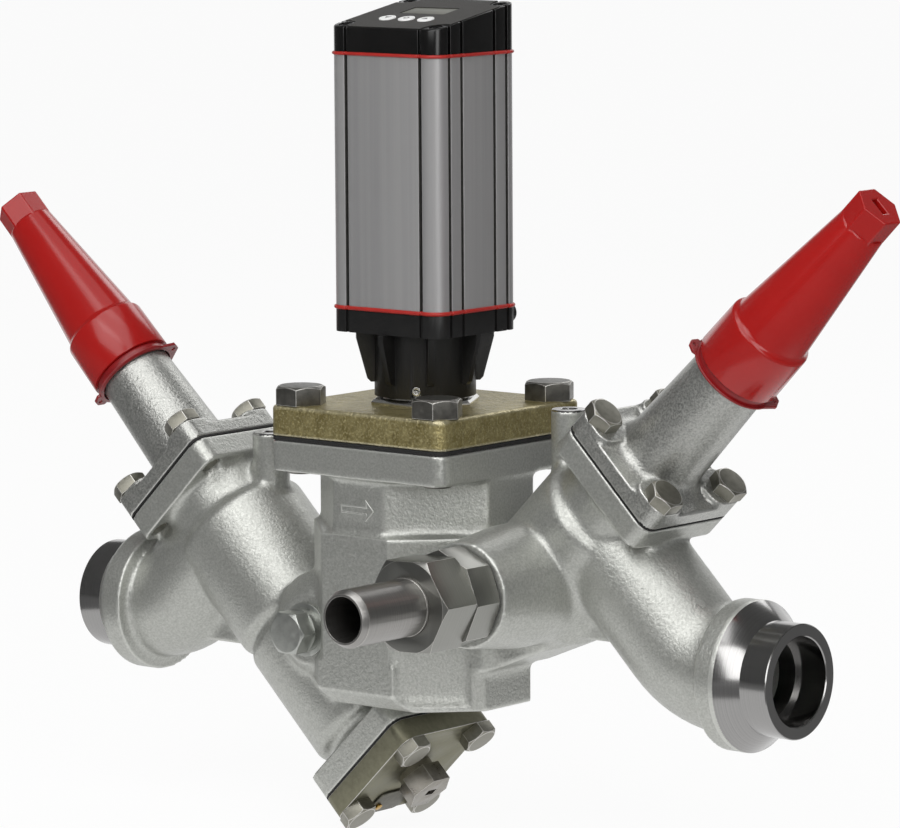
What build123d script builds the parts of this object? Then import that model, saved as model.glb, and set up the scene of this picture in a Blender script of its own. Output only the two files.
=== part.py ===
from build123d import *
from math import cos, radians, sin
import os

os.makedirs("parts", exist_ok=True)

# Driving sizes in millimetres. The middle of the inlet mouth is the origin,
# the flow runs along +X and +Z is up.

# Whole station: where the three valve axes cross the pipe line, and how far
# along each axis its flanged face lies
face_to_face = 350.0
inlet_cross_x = 105.6
motor_x = 168.5
outlet_cross_x = 205.1
inlet_reach = 77.2
strainer_reach = 70.1
outlet_reach = 104.9

# Clearances
loose_gap = 0.3
running_gap = 0.05
thread_gap = 0.3

# Weld-in pipe ends
nose_radius = 22.0
nose_length = 12.0
pipe_cone_length = 7.4
collar_radius = 29.0
collar_length = 9.3
socket_radius = 17.1
socket_depth = 13.0
mouth_bore_radius = 15.0
branch_radius = 23.5
branch_bore_radius = 14.0
inlet_elbow_x = 37.8
inlet_elbow_radius = 24.0
outlet_elbow_radius = 35.0
outlet_branch_reach = 71.7

# Cast barrels of the stop valves and the strainer
barrel_radius = 28.0
barrel_shoulder = 5.0
neck_radius = 24.0
neck_length = 13.5
strainer_neck_length = 3.5
bend_share = 0.4143
chamber_radius = 19.0
seat_bore_radius = 12.5
seat_depth = 48.5
seat_thickness = 6.0
strainer_bore_end = 18.0
outlet_barrel_start = 30.0
outlet_lower_radius = 16.5
outlet_lower_start = 20.0
web_thickness = 16.0

# Square flanges of the stop valves and the strainer
small_flange = 53.3
small_flange_thickness = 10.6
small_corner = 5.5
small_gasket = 0.8
small_cover = 9.0
cover_waist = 2.6
corner_pad = 17.0
small_bolt_edge = 6.45
small_bolt_flats = 13.0
small_bolt_head = 5.4
small_bolt_radius = 4.0
small_bolt_recess = 1.0

# Motor valve body, flange and cover
body_half_x = 43.0
body_half_y = 41.5
body_facet_x = 14.0
body_facet_y = 12.6
lower_half_x = 44.7
lower_half_y = 43.7
lower_facet_x = 18.3
lower_facet_y = 19.3
ledge_z = 44.0
pad_z = -6.0
bottom_z = -24.0
bottom_bevel = 6.0
pad_step = 1.6
band_corner_y = 9.6
band_back_x = 15.0
band_back_y = 38.0
pocket_depth = 1.5
pocket_height = 15.0
pocket_start = 0.5
pocket_end = 30.0
large_flange = 88.0
large_flange_bottom = 66.5
large_flange_thickness = 12.1
large_corner = 5.0
large_gasket = 1.5
large_cover = 12.2
large_bolt_edge = 9.3
large_bolt_flats = 18.0
large_bolt_head = 7.5
large_bolt_radius = 6.0
large_bolt_tip = 1.5

# Motor valve insides
insert_radius = 25.7
insert_bore_radius = 15.6
insert_bottom = 22.0
insert_length = 40.0
port_radius = 8.0
passage_radius = 10.0
passage_z = 33.0
supply_radius = 11.0
lower_chamber_radius = 13.0
lower_chamber_bottom = -14.0
seat_ring_radius = 17.7
seat_ring_bore = 12.0
seat_ring_height = 6.0
motor_cone_height = 26.0
motor_hub_radius = 10.0
motor_hub_height = 14.0
motor_lift = 12.0
motor_spindle_radius = 5.0
motor_shaft_radius = 4.0

# Stop valve bonnet, spindle and cap, measured from the flange face outwards
bonnet_base_radius = 16.9
bonnet_top_radius = 15.0
bonnet_shoulder = 60.0
bonnet_thread_radius = 13.4
bonnet_top = 76.0
bonnet_spigot = 12.0
bonnet_cavity_radius = 14.0
bonnet_cavity_top = 6.0
bonnet_fillet = 5.0
spindle_radius = 5.0
spindle_thread_radius = 7.0
spindle_top = 96.0
spindle_square = 7.0
gland_radius = 9.0
gland_flats = 20.0
gland_head = 5.0
stop_lift = 10.0
cone_radius = 15.8
cone_thickness = 6.0
cone_hub_radius = 9.0
cone_hub_height = 11.0
cone_spigot_radius = 11.5
cone_spigot = 1.5
cone_seal_thickness = 3.0
spindle_socket_depth = 9.0
ring_thickness = 4.2
ring_radius = 18.5
ear_reach = 21.5
ear_width = 6.0
ear_length = 9.0
cap_skirt_base = 17.6
cap_skirt_top = 17.2
cap_skirt_length = 21.0
cap_cone_base = 15.5
cap_cone_top = 9.5
cap_cone_length = 57.0
cap_shoulder = 2.0
cap_wall = 3.2
cap_hex_flats = 17.0
cap_hex_start = 77.0
cap_length = 90.5
key_slot = (3.5, 7.0)
key_slot_depth = 2.5

# Strainer
basket_radius = 17.0
basket_wall = 1.0
basket_rows = 5
basket_hole = 2.5
purge_flats = 17.0
purge_head = 8.6
purge_collar = 3.0
purge_collar_radius = 7.6
purge_thread_radius = 6.0
tag_length = 20.0
tag_width = 13.0
tag_thickness = 1.0
tag_pin_radius = 1.6

# Actuator, centred on the motor valve axis
adapter_corner_radius = 22.7
adapter_flange = 2.1
adapter_ring_radius = 17.1
adapter_ring = 8.0
can_radius = 11.4
can_wall = 2.2
can_height = 55.7
base_gap = 1.0
base_radius = 20.0
flare_start = 6.6
flare_bottom_radius = 22.9
flare_end = 22.6
flare_top_radius = 27.2
base_fins = 8
base_fin = 2.6
lip_start = 25.4
lip_height = 8.8
shell_x = 55.6
shell_y = 49.6
shell_corner = 6.0
shell_wall = 2.4
shell_length = 98.0
gasket_height = 1.6
upper_gasket_height = 1.4
gasket_overhang = 0.9
lid_front_height = 9.6
lid_back_height = 18.7
lid_wall = 2.4
groove_width = 1.6
groove_depth = 1.0
front_groove_x = 18.7
side_groove_y = (10.0, 17.5)
magnet_radius = 16.8
magnet_start = 8.6
magnet_roof = 3.0
motor_shaft_length = 6.0
stepper_size = 38.0
stepper_height = 36.0
post_x = 20.5
post_y = 17.0
post_radius = 2.5
board_thickness = 1.6
board_drop = 14.0
set_screw_radius = 1.9
set_screw_height = 3.2
cable_inlet_radius = 4.0
cable_inlet_length = 13.0
cable_inlet_spacing = 24.0
window_x = 22.3
window_y = 10.3
window_centre_y = 4.4
window_thickness = 1.2
button_radius = 3.4
button_pitch = 9.7
button_y = -10.0
button_proud = 0.7
button_flange = 0.8

# Side port with welding nipple
side_port_z = 28.7
side_boss_radius = 24.0
side_boss_face_radius = 20.5
side_boss_y = 57.0
side_seal = 0.9
side_bore_radius = 8.7
adapter_flats = 36.0
adapter_sides = 8
adapter_length = 14.0
port_adapter_turn = -1.5
adapter_thread_radius = 13.0
adapter_thread = 14.3
adapter_stub_radius = 12.0
adapter_stub = 10.0
union_nut_flats = 34.4
union_nut_length = 18.6
union_nut_turn = 2.4
nipple_radius = 11.0
nipple_end_radius = 9.6
nipple_bevel = 2.4
nipple_collar = 2.2
nipple_land = 0.2
nipple_land_length = 1.0
nipple_length = 40.8

# Blind plug beside the motor valve
plug_offset = 33.8
plug_z = 2.5
plug_back_radius = 22.5
plug_back_y = 25.0
plug_boss_radius = 14.0
plug_boss_y = 33.5
plug_flats = 16.0
plug_head = 7.6
plug_collar = 3.9
plug_collar_radius = 8.8
plug_washer = 1.5
plug_washer_radius = 10.7
plug_spot_gap = 0.8
plug_thread_radius = 6.5
plug_thread = 12.0

# Upright machined bosses on the two inclined barrels
inlet_boss_offset = 18.3
inlet_boss_z = 73.8
inlet_boss_radius = 7.5
outlet_boss_offset = 35.2
outlet_boss_z = 94.7
outlet_boss_radius = 6.8
boss_recess = 0.8

# Webs, shelf and arrow of the casting
inlet_web_drop = 10.5
web_bite = 3.0
outlet_web_drop = 6.8
shelf_front = 21.5
shelf_reach = 26.0
shelf_skew = 14.0
shelf_low = -8.5
shelf_rise = 10.5
shelf_height = 10.0
side_boss_taper = 27.0
boss_rim = 1.6
arrow_z = 54.0
arrow_length = 17.0
arrow_shaft = 3.4
arrow_head = 4.4
arrow_relief = 0.5
arrow_line = 0.8
plug_bore_radius = 3.0

# Small details of the valve pieces
small_hole = small_bolt_radius + 0.25
large_hole = large_bolt_radius + 0.25
inlet_drop = 3.5
inlet_ear_angle = -55.0
outlet_ear_angle = -65.0
inlet_head_turn = 0.0
outlet_head_turn = 0.0
ear_eye_radius = 0.8
cap_hex_bevel = 0.8
strainer_spigot = 6.0
basket_sides = 8
purge_inset = 5.0
purge_slot = (5.0, 3.2)
purge_slot_depth = 2.5
tag_edge = 1.0
tag_corner = 4.0
tag_pin_x = 6.5
tag_pin_edge = 6.0
tag_pin_height = 1.0
head_bevel_share = 0.94
head_bevel_slope = 0.6
bolt_tip_share = 0.15
cover_bevel = 1.0
spindle_roof = 3.0
adapter_seat = 8.0
adapter_thread_size = 9.8
adapter_turn = 0.0
adapter_bevel = 1.0
rotor_inset = 6.0
coupling_gap = 0.6
magnet_headroom = 5.0
flare_step = 1.3
set_screws = 3
set_screw_angle = -60.7
set_screw_inset = 0.4
cable_thread = 2.2
cable_thread_radius = 3.2
cable_bore_radius = 2.2
cable_bevel = 0.6
lid_bevel = 1.2
button_gap = 0.25
lid_screw_x = 22.8
lid_screw_y = 20.0
lid_screw_radius = 2.5
lid_screw_depth = 1.8
lid_screw_head = 1.5
stepper_shaft_radius = 3.0
stepper_corner = 3.0
board_edge = 0.6
port_washer_radius = 17.6
hex_bevel = 1.1

# Planes and heights that follow from the driving sizes
side_port_x = outlet_cross_x + side_port_z
plug_x = motor_x - plug_offset
inlet_boss_x = inlet_cross_x - inlet_boss_offset
outlet_boss_x = outlet_cross_x + outlet_boss_offset
leftward = Vector(-1, 0, 1)
rightward = Vector(1, 0, 1)
downward = Vector(1, 0, -1)
inlet_axis = Plane(origin=(inlet_cross_x, 0, 0), x_dir=(0, -1, 0), z_dir=leftward)
strainer_axis = Plane(origin=(inlet_cross_x, 0, 0), x_dir=(0, -1, 0), z_dir=downward)
outlet_axis = Plane(origin=(outlet_cross_x, 0, 0), x_dir=(0, -1, 0), z_dir=rightward)
motor_axis = Plane(origin=(motor_x, 0, 0), x_dir=(1, 0, 0), z_dir=(0, 0, 1))
inlet_face = inlet_axis.offset(inlet_reach)
strainer_face = strainer_axis.offset(strainer_reach)
outlet_face = outlet_axis.offset(outlet_reach)
inlet_mouth = Plane(origin=(0, 0, 0), x_dir=(0, -1, 0), z_dir=(-1, 0, 0))
outlet_mouth = Plane(origin=(face_to_face, 0, 0), x_dir=(0, -1, 0), z_dir=(1, 0, 0))
side_port = Plane(origin=(side_port_x, 0, side_port_z), x_dir=(1, 0, 0), z_dir=(0, -1, 0))
plug_plane = Plane(origin=(plug_x, 0, plug_z), x_dir=(1, 0, 0), z_dir=(0, -1, 0))
inlet_boss = Plane(origin=(inlet_boss_x, 0, 0), x_dir=(1, 0, 0), z_dir=(0, 0, 1))
outlet_boss = Plane(origin=(outlet_boss_x, 0, 0), x_dir=(1, 0, 0), z_dir=(0, 0, 1))
supply_plane = Plane(origin=(inlet_cross_x, 0, 0), x_dir=(0, 1, 0), z_dir=(1, 0, 0))
passage_plane = Plane(origin=(motor_x, 0, passage_z), x_dir=(0, 1, 0), z_dir=(1, 0, 0))
passage_end_x = outlet_cross_x + passage_z - passage_radius
port_length = nose_length + pipe_cone_length + collar_length
small_bolt_spacing = small_flange - 2 * small_bolt_edge
large_bolt_spacing = large_flange - 2 * large_bolt_edge
outlet_elbow_x = outlet_cross_x + outlet_branch_reach * 2 ** 0.5
inlet_seat = inlet_reach - seat_depth
outlet_seat = outlet_reach - seat_depth
flange_top_z = large_flange_bottom + large_flange_thickness
cover_bottom_z = flange_top_z + large_gasket
cover_top_z = cover_bottom_z + large_cover
base_bottom = cover_top_z + adapter_flange + base_gap
set_screw_z = base_bottom + set_screw_height
flare_bottom = base_bottom + flare_start
flare_top = base_bottom + flare_end
lip_bottom = base_bottom + lip_start
lip_top = lip_bottom + lip_height
magnet_bottom = base_bottom + magnet_start
can_top = cover_top_z + can_height
shell_bottom = lip_top + gasket_height
shell_top = shell_bottom + shell_length
lid_bottom = shell_top + upper_gasket_height
lid_front_z = lid_bottom + lid_front_height
lid_back_z = lid_bottom + lid_back_height


def write(piece, node):
    """Label a finished piece and write it to its own file."""
    piece.part.label = node
    export_step(piece.part, f"parts/{node}.step")


def section(plane):
    """Plane through an axis: its X is the radius and its Y runs along the axis."""
    return Plane(origin=plane.origin, x_dir=plane.x_dir, z_dir=plane.x_dir.cross(plane.z_dir))


def turned(plane, *outline, mode=Mode.ADD):
    """Revolve an outline of (radius, height) points about the axis of a plane."""
    with BuildSketch(section(plane)) as profile:
        with BuildLine():
            Polyline(*outline, close=True)
        make_face()
    revolve(profile.sketch, axis=Axis(plane.origin, plane.z_dir), mode=mode)


def disc(plane, radius, low, high, mode=Mode.ADD):
    """Round bar along the axis of a plane, between two heights."""
    with BuildSketch(plane.offset(low)) as circle:
        Circle(radius)
    extrude(circle.sketch, amount=high - low, mode=mode)


def square_plate(plane, size, corner, low, high):
    """Square plate with rounded corners, between two heights."""
    with BuildSketch(plane.offset(low)) as plate:
        RectangleRounded(size, size, corner)
    extrude(plate.sketch, amount=high - low)


def hex_bolt(flats, head, radius, length):
    """Hexagon bolt whose head stands on z = 0, with its shank below."""
    corner = flats / 3 ** 0.5
    with BuildPart() as bolt:
        with BuildSketch():
            RegularPolygon(flats / 2, 6, major_radius=False)
        extrude(amount=head)
        bevel = corner - flats / 2 * head_bevel_share
        turned(
            Plane.XY,
            (0, 0), (corner, 0), (corner, head - bevel * head_bevel_slope), (corner - bevel, head), (0, head),
            mode=Mode.INTERSECT,
        )
        tip = radius * bolt_tip_share
        turned(Plane.XY, (0, 0), (radius, 0), (radius, tip - length), (radius - tip, -length), (0, -length))
    return bolt.part


def bolt_square(plane, spacing, bolt):
    """Four equal bolts in a square on a plane."""
    with BuildPart(plane) as group:
        with GridLocations(spacing, spacing, 2, 2):
            add(bolt)
    return group


def bolt_holes(plane, spacing, radius, depth):
    """Four bolt holes in a square, cut down from a plane."""
    with BuildSketch(plane) as holes:
        with GridLocations(spacing, spacing, 2, 2):
            Circle(radius)
    extrude(holes.sketch, amount=-depth, mode=Mode.SUBTRACT)


def face_ring(plane, size, corner, thickness, bore, spacing, hole):
    """Flat gasket below a flange face, with its bore and bolt holes."""
    with BuildPart() as ring:
        square_plate(plane, size, corner, -thickness, 0)
        disc(plane, bore, -thickness, 0, mode=Mode.SUBTRACT)
        bolt_holes(plane, spacing, hole, thickness)
    return ring


def barrel(plane, start, reach, neck):
    """Cast barrel with a rounded shoulder, a neck and its square flange."""
    back = reach - small_gasket - small_flange_thickness
    with BuildSketch(section(plane)) as profile:
        with Locations((barrel_radius / 2, (start + back - neck) / 2)):
            Rectangle(barrel_radius, back - neck - start)
        fillet(profile.vertices().filter_by(lambda v: plane.to_local_coords(v).X > barrel_radius / 2), barrel_shoulder)
        with Locations((neck_radius / 2, (start + back) / 2)):
            Rectangle(neck_radius, back - start)
    revolve(profile.sketch, axis=Axis(plane.origin, plane.z_dir))
    square_plate(plane, small_flange, small_corner, back, reach - small_gasket)


def pipe_end(plane):
    """Nose, cone and collar of a weld-in pipe end, behind its mouth plane."""
    cone_end = nose_length + pipe_cone_length
    turned(
        plane,
        (0, 0), (nose_radius, 0), (nose_radius, -nose_length), (collar_radius, -cone_end),
        (collar_radius, -port_length), (0, -port_length),
    )


# Housing: one casting that holds both stop valves, the strainer and the motor valve
body_outline = [
    (body_half_x, body_facet_x), (body_facet_y, body_half_y), (-body_facet_y, body_half_y),
    (-body_half_x, body_facet_x), (-body_half_x, -body_facet_x), (-body_facet_y, -body_half_y),
    (body_facet_y, -body_half_y), (body_half_x, -body_facet_x),
]


def lower_outline(step):
    """Outline of the lower body, with its diagonal sides moved in by a step."""
    shift = step * 2 ** 0.5
    return [
        (lower_half_x, lower_facet_x - shift), (lower_facet_y - shift, lower_half_y),
        (shift - lower_facet_y, lower_half_y), (-lower_half_x, lower_facet_x - shift),
        (-lower_half_x, shift - lower_facet_x), (shift - lower_facet_y, -lower_half_y),
        (lower_facet_y - shift, -lower_half_y), (lower_half_x, shift - lower_facet_x),
    ]


# The lower band follows the same outline, but its back right side is cut away
band_outline = lower_outline(0)
band_outline[0] = (lower_half_x, band_corner_y)
band_outline[1] = (band_back_x, band_back_y)
pocket_plane = Plane(
    origin=(motor_x + lower_facet_y, -lower_half_y, pad_z),
    x_dir=(lower_half_x - lower_facet_y, lower_half_y - lower_facet_x, 0),
    z_dir=(lower_half_y - lower_facet_x, lower_facet_y - lower_half_x, 0),
)


def bend_path(elbow_x, radius, mouth_x, end):
    """Branch centre line: along the pipe, round the elbow and up to a valve axis."""
    with BuildLine() as path:
        FilletPolyline((mouth_x, 0, 0), (elbow_x, 0, 0), end, radius=radius)
    return path.line


inlet_join = (inlet_cross_x + inlet_elbow_x) / 2
outlet_join = outlet_cross_x + outlet_branch_reach / 2 ** 0.5
inlet_end = (inlet_join, 0, inlet_join - inlet_elbow_x)
outlet_end = (outlet_join, 0, outlet_elbow_x - outlet_join)
inlet_bend_start = inlet_elbow_x - inlet_elbow_radius * bend_share
outlet_bend_start = outlet_elbow_x + outlet_elbow_radius * bend_share


def branch(radius, mode=Mode.ADD):
    """Both pipe branches, each from its pipe end to its valve axis."""
    for elbow_x, bend, mouth_x, end in (
        (inlet_elbow_x, inlet_elbow_radius, min(port_length, inlet_bend_start) - 1, inlet_end),
        (outlet_elbow_x, outlet_elbow_radius, max(face_to_face - port_length, outlet_bend_start) + 1, outlet_end),
    ):
        path = bend_path(elbow_x, bend, mouth_x, end)
        start = Plane(origin=(mouth_x, 0, 0), x_dir=(0, -1, 0), z_dir=path @ 0.01 - path @ 0)
        with BuildSketch(start) as tube:
            Circle(radius)
        sweep(tube.sketch, path=path, mode=mode)


def side_prism(points, half_width):
    """Upright plate on the middle plane, from points in X and Z."""
    with BuildSketch(Plane.XZ) as plate:
        with BuildLine():
            Polyline(*points, close=True)
        make_face()
    extrude(plate.sketch, amount=half_width, both=True)


def crotch_web(falling, rising, drop):
    """Web below the point where the lines x + z = falling and x - z = rising cross."""
    cross_x = (falling + rising) / 2
    cross_z = (falling - rising) / 2
    side_prism(
        [
            (cross_x - drop - web_bite, cross_z - drop), (cross_x + drop + web_bite, cross_z - drop),
            (cross_x, cross_z + web_bite),
        ],
        web_thickness / 2,
    )


with BuildPart() as housing:
    # Motor valve body: upper octagon, middle body and the proud lower band
    with BuildSketch(motor_axis.offset(ledge_z)):
        with BuildLine():
            Polyline(*body_outline, close=True)
        make_face()
    extrude(amount=large_flange_bottom - ledge_z)
    with BuildSketch(motor_axis.offset(pad_z)):
        with BuildLine():
            Polyline(*lower_outline(pad_step), close=True)
        make_face()
    extrude(amount=ledge_z - pad_z)
    with BuildPart(mode=Mode.PRIVATE) as band:
        with BuildSketch(motor_axis.offset(bottom_z)):
            with BuildLine():
                Polyline(*band_outline, close=True)
            make_face()
        extrude(amount=pad_z - bottom_z)
        rounded = band.faces().sort_by(Axis.Z)[0].edges().filter_by(lambda e: e.center().X < motor_x + band_back_x)
        chamfer(rounded, bottom_bevel)
        with BuildSketch(pocket_plane) as pocket:
            with Locations(((pocket_start + pocket_end) / 2, -pocket_height / 2)):
                Rectangle(pocket_end - pocket_start, pocket_height)
        extrude(pocket.sketch, amount=-pocket_depth, mode=Mode.SUBTRACT)
    add(band.part)
    square_plate(motor_axis, large_flange, large_corner, large_flange_bottom, flange_top_z)

    # Inclined barrels, branches and pipe ends
    barrel(inlet_axis, 0, inlet_reach, neck_length)
    barrel(strainer_axis, 0, strainer_reach, strainer_neck_length)
    barrel(outlet_axis, outlet_barrel_start, outlet_reach, neck_length)
    branch(branch_radius)
    pipe_end(inlet_mouth)
    pipe_end(outlet_mouth)

    # Webs in the crotch of each barrel and branch
    crotch_web(inlet_cross_x - barrel_radius * 2 ** 0.5, inlet_elbow_x + branch_radius * 2 ** 0.5, inlet_web_drop)
    crotch_web(outlet_elbow_x - branch_radius * 2 ** 0.5, outlet_cross_x + barrel_radius * 2 ** 0.5, outlet_web_drop)

    # Shelf and fill between the motor valve body and the outlet barrel
    shelf_x = motor_x + lower_half_x
    with BuildSketch(Plane.XY.offset(shelf_low)) as shelf:
        with BuildLine():
            Polyline(
                (motor_x, -shelf_front), (shelf_x, -shelf_front), (shelf_x + shelf_reach, shelf_front - shelf_skew),
                (shelf_x + shelf_reach, shelf_front), (motor_x, shelf_front), close=True,
            )
        make_face()
    extrude(shelf.sketch, amount=shelf_rise + shelf_height)
    with BuildSketch(Plane.XZ) as under:
        with BuildLine():
            Polyline(
                (shelf_x, shelf_low), (shelf_x + shelf_reach, shelf_low + shelf_rise),
                (shelf_x + shelf_reach + 1, shelf_low - 1), (shelf_x, shelf_low - 1), close=True,
            )
        make_face()
    extrude(under.sketch, amount=shelf_front + 1, both=True, mode=Mode.SUBTRACT)
    side_prism(
        [
            (motor_x, shelf_low), (shelf_x, shelf_low), (shelf_x + shelf_reach, shelf_low + shelf_rise),
            (shelf_x + shelf_reach + 3, shelf_low + shelf_rise + 4), (shelf_x, ledge_z),
        ],
        web_thickness,
    )

    # Bosses: side port, blind plug and two upright machined ones
    turned(
        side_port,
        (0, 0), (side_boss_radius, 0), (side_boss_radius, side_boss_y - side_boss_taper),
        (side_boss_face_radius, side_boss_y), (0, side_boss_y),
    )
    turned(
        plug_plane,
        (0, 0), (plug_back_radius, 0), (plug_back_radius, plug_back_y), (plug_boss_radius, plug_boss_y),
        (0, plug_boss_y),
    )
    disc(inlet_boss, inlet_boss_radius, inlet_cross_x - inlet_boss_x, inlet_boss_z)
    disc(outlet_boss, outlet_boss_radius, outlet_boss_x - outlet_cross_x, outlet_boss_z)
    disc(inlet_boss, inlet_boss_radius - boss_rim, inlet_boss_z - boss_recess, inlet_boss_z, mode=Mode.SUBTRACT)
    disc(outlet_boss, outlet_boss_radius - boss_rim, outlet_boss_z - boss_recess, outlet_boss_z, mode=Mode.SUBTRACT)

    # Cast flow arrow on the front pad
    with BuildSketch(Plane.XZ.offset(body_half_y)) as arrow:
        with BuildLine():
            Polyline(
                (motor_x - arrow_length / 2, arrow_z - arrow_shaft / 2),
                (motor_x + arrow_length / 2 - arrow_head, arrow_z - arrow_shaft / 2),
                (motor_x + arrow_length / 2 - arrow_head, arrow_z - arrow_head),
                (motor_x + arrow_length / 2, arrow_z),
                (motor_x + arrow_length / 2 - arrow_head, arrow_z + arrow_head),
                (motor_x + arrow_length / 2 - arrow_head, arrow_z + arrow_shaft / 2),
                (motor_x - arrow_length / 2, arrow_z + arrow_shaft / 2), close=True,
            )
        make_face()
        offset(amount=-arrow_line, kind=Kind.INTERSECTION, mode=Mode.SUBTRACT)
    extrude(arrow.sketch, amount=arrow_relief)

    # Flow passages: sockets and branches, then each chamber in turn
    for mouth in (inlet_mouth, outlet_mouth):
        disc(mouth, socket_radius, -socket_depth, 0, mode=Mode.SUBTRACT)
        disc(mouth, mouth_bore_radius, -port_length, 0, mode=Mode.SUBTRACT)
    branch(branch_bore_radius, mode=Mode.SUBTRACT)
    disc(inlet_axis, chamber_radius, inlet_seat, inlet_reach, mode=Mode.SUBTRACT)
    disc(inlet_axis, seat_bore_radius, 0, inlet_seat, mode=Mode.SUBTRACT)
    disc(strainer_axis, chamber_radius, -strainer_bore_end, strainer_reach, mode=Mode.SUBTRACT)
    disc(supply_plane, supply_radius, 0, motor_x - inlet_cross_x, mode=Mode.SUBTRACT)
    disc(motor_axis, lower_chamber_radius, lower_chamber_bottom, insert_bottom, mode=Mode.SUBTRACT)
    disc(motor_axis, seat_ring_radius + loose_gap, insert_bottom - seat_ring_height, insert_bottom, mode=Mode.SUBTRACT)
    disc(motor_axis, insert_radius + loose_gap, insert_bottom, flange_top_z, mode=Mode.SUBTRACT)
    disc(passage_plane, passage_radius, 0, passage_end_x - motor_x, mode=Mode.SUBTRACT)
    disc(outlet_axis, outlet_lower_radius, outlet_lower_start, outlet_seat - seat_thickness, mode=Mode.SUBTRACT)
    disc(outlet_axis, seat_bore_radius, outlet_lower_start, outlet_seat, mode=Mode.SUBTRACT)
    disc(outlet_axis, chamber_radius, outlet_seat, outlet_reach, mode=Mode.SUBTRACT)
    disc(side_port, side_bore_radius, 0, side_boss_y, mode=Mode.SUBTRACT)
    disc(side_port, adapter_stub_radius + thread_gap, side_boss_y - adapter_stub - 1, side_boss_y, mode=Mode.SUBTRACT)
    disc(plug_plane, plug_bore_radius, 0, plug_boss_y, mode=Mode.SUBTRACT)
    disc(plug_plane, plug_washer_radius + plug_spot_gap, plug_boss_y, plug_boss_y + body_half_y, mode=Mode.SUBTRACT)
    disc(plug_plane, plug_thread_radius + thread_gap, plug_boss_y - plug_thread - 1, plug_boss_y, mode=Mode.SUBTRACT)

    # Threaded bolt holes of the four flanges
    for plane in (inlet_face, strainer_face, outlet_face):
        bolt_holes(
            plane.offset(-small_gasket), small_bolt_spacing, small_hole,
            small_flange_thickness + loose_gap,
        )
    bolt_holes(
        motor_axis.offset(flange_top_z), large_bolt_spacing, large_hole,
        large_flange_thickness + large_bolt_tip + loose_gap,
    )
write(housing, "housing")


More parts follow.
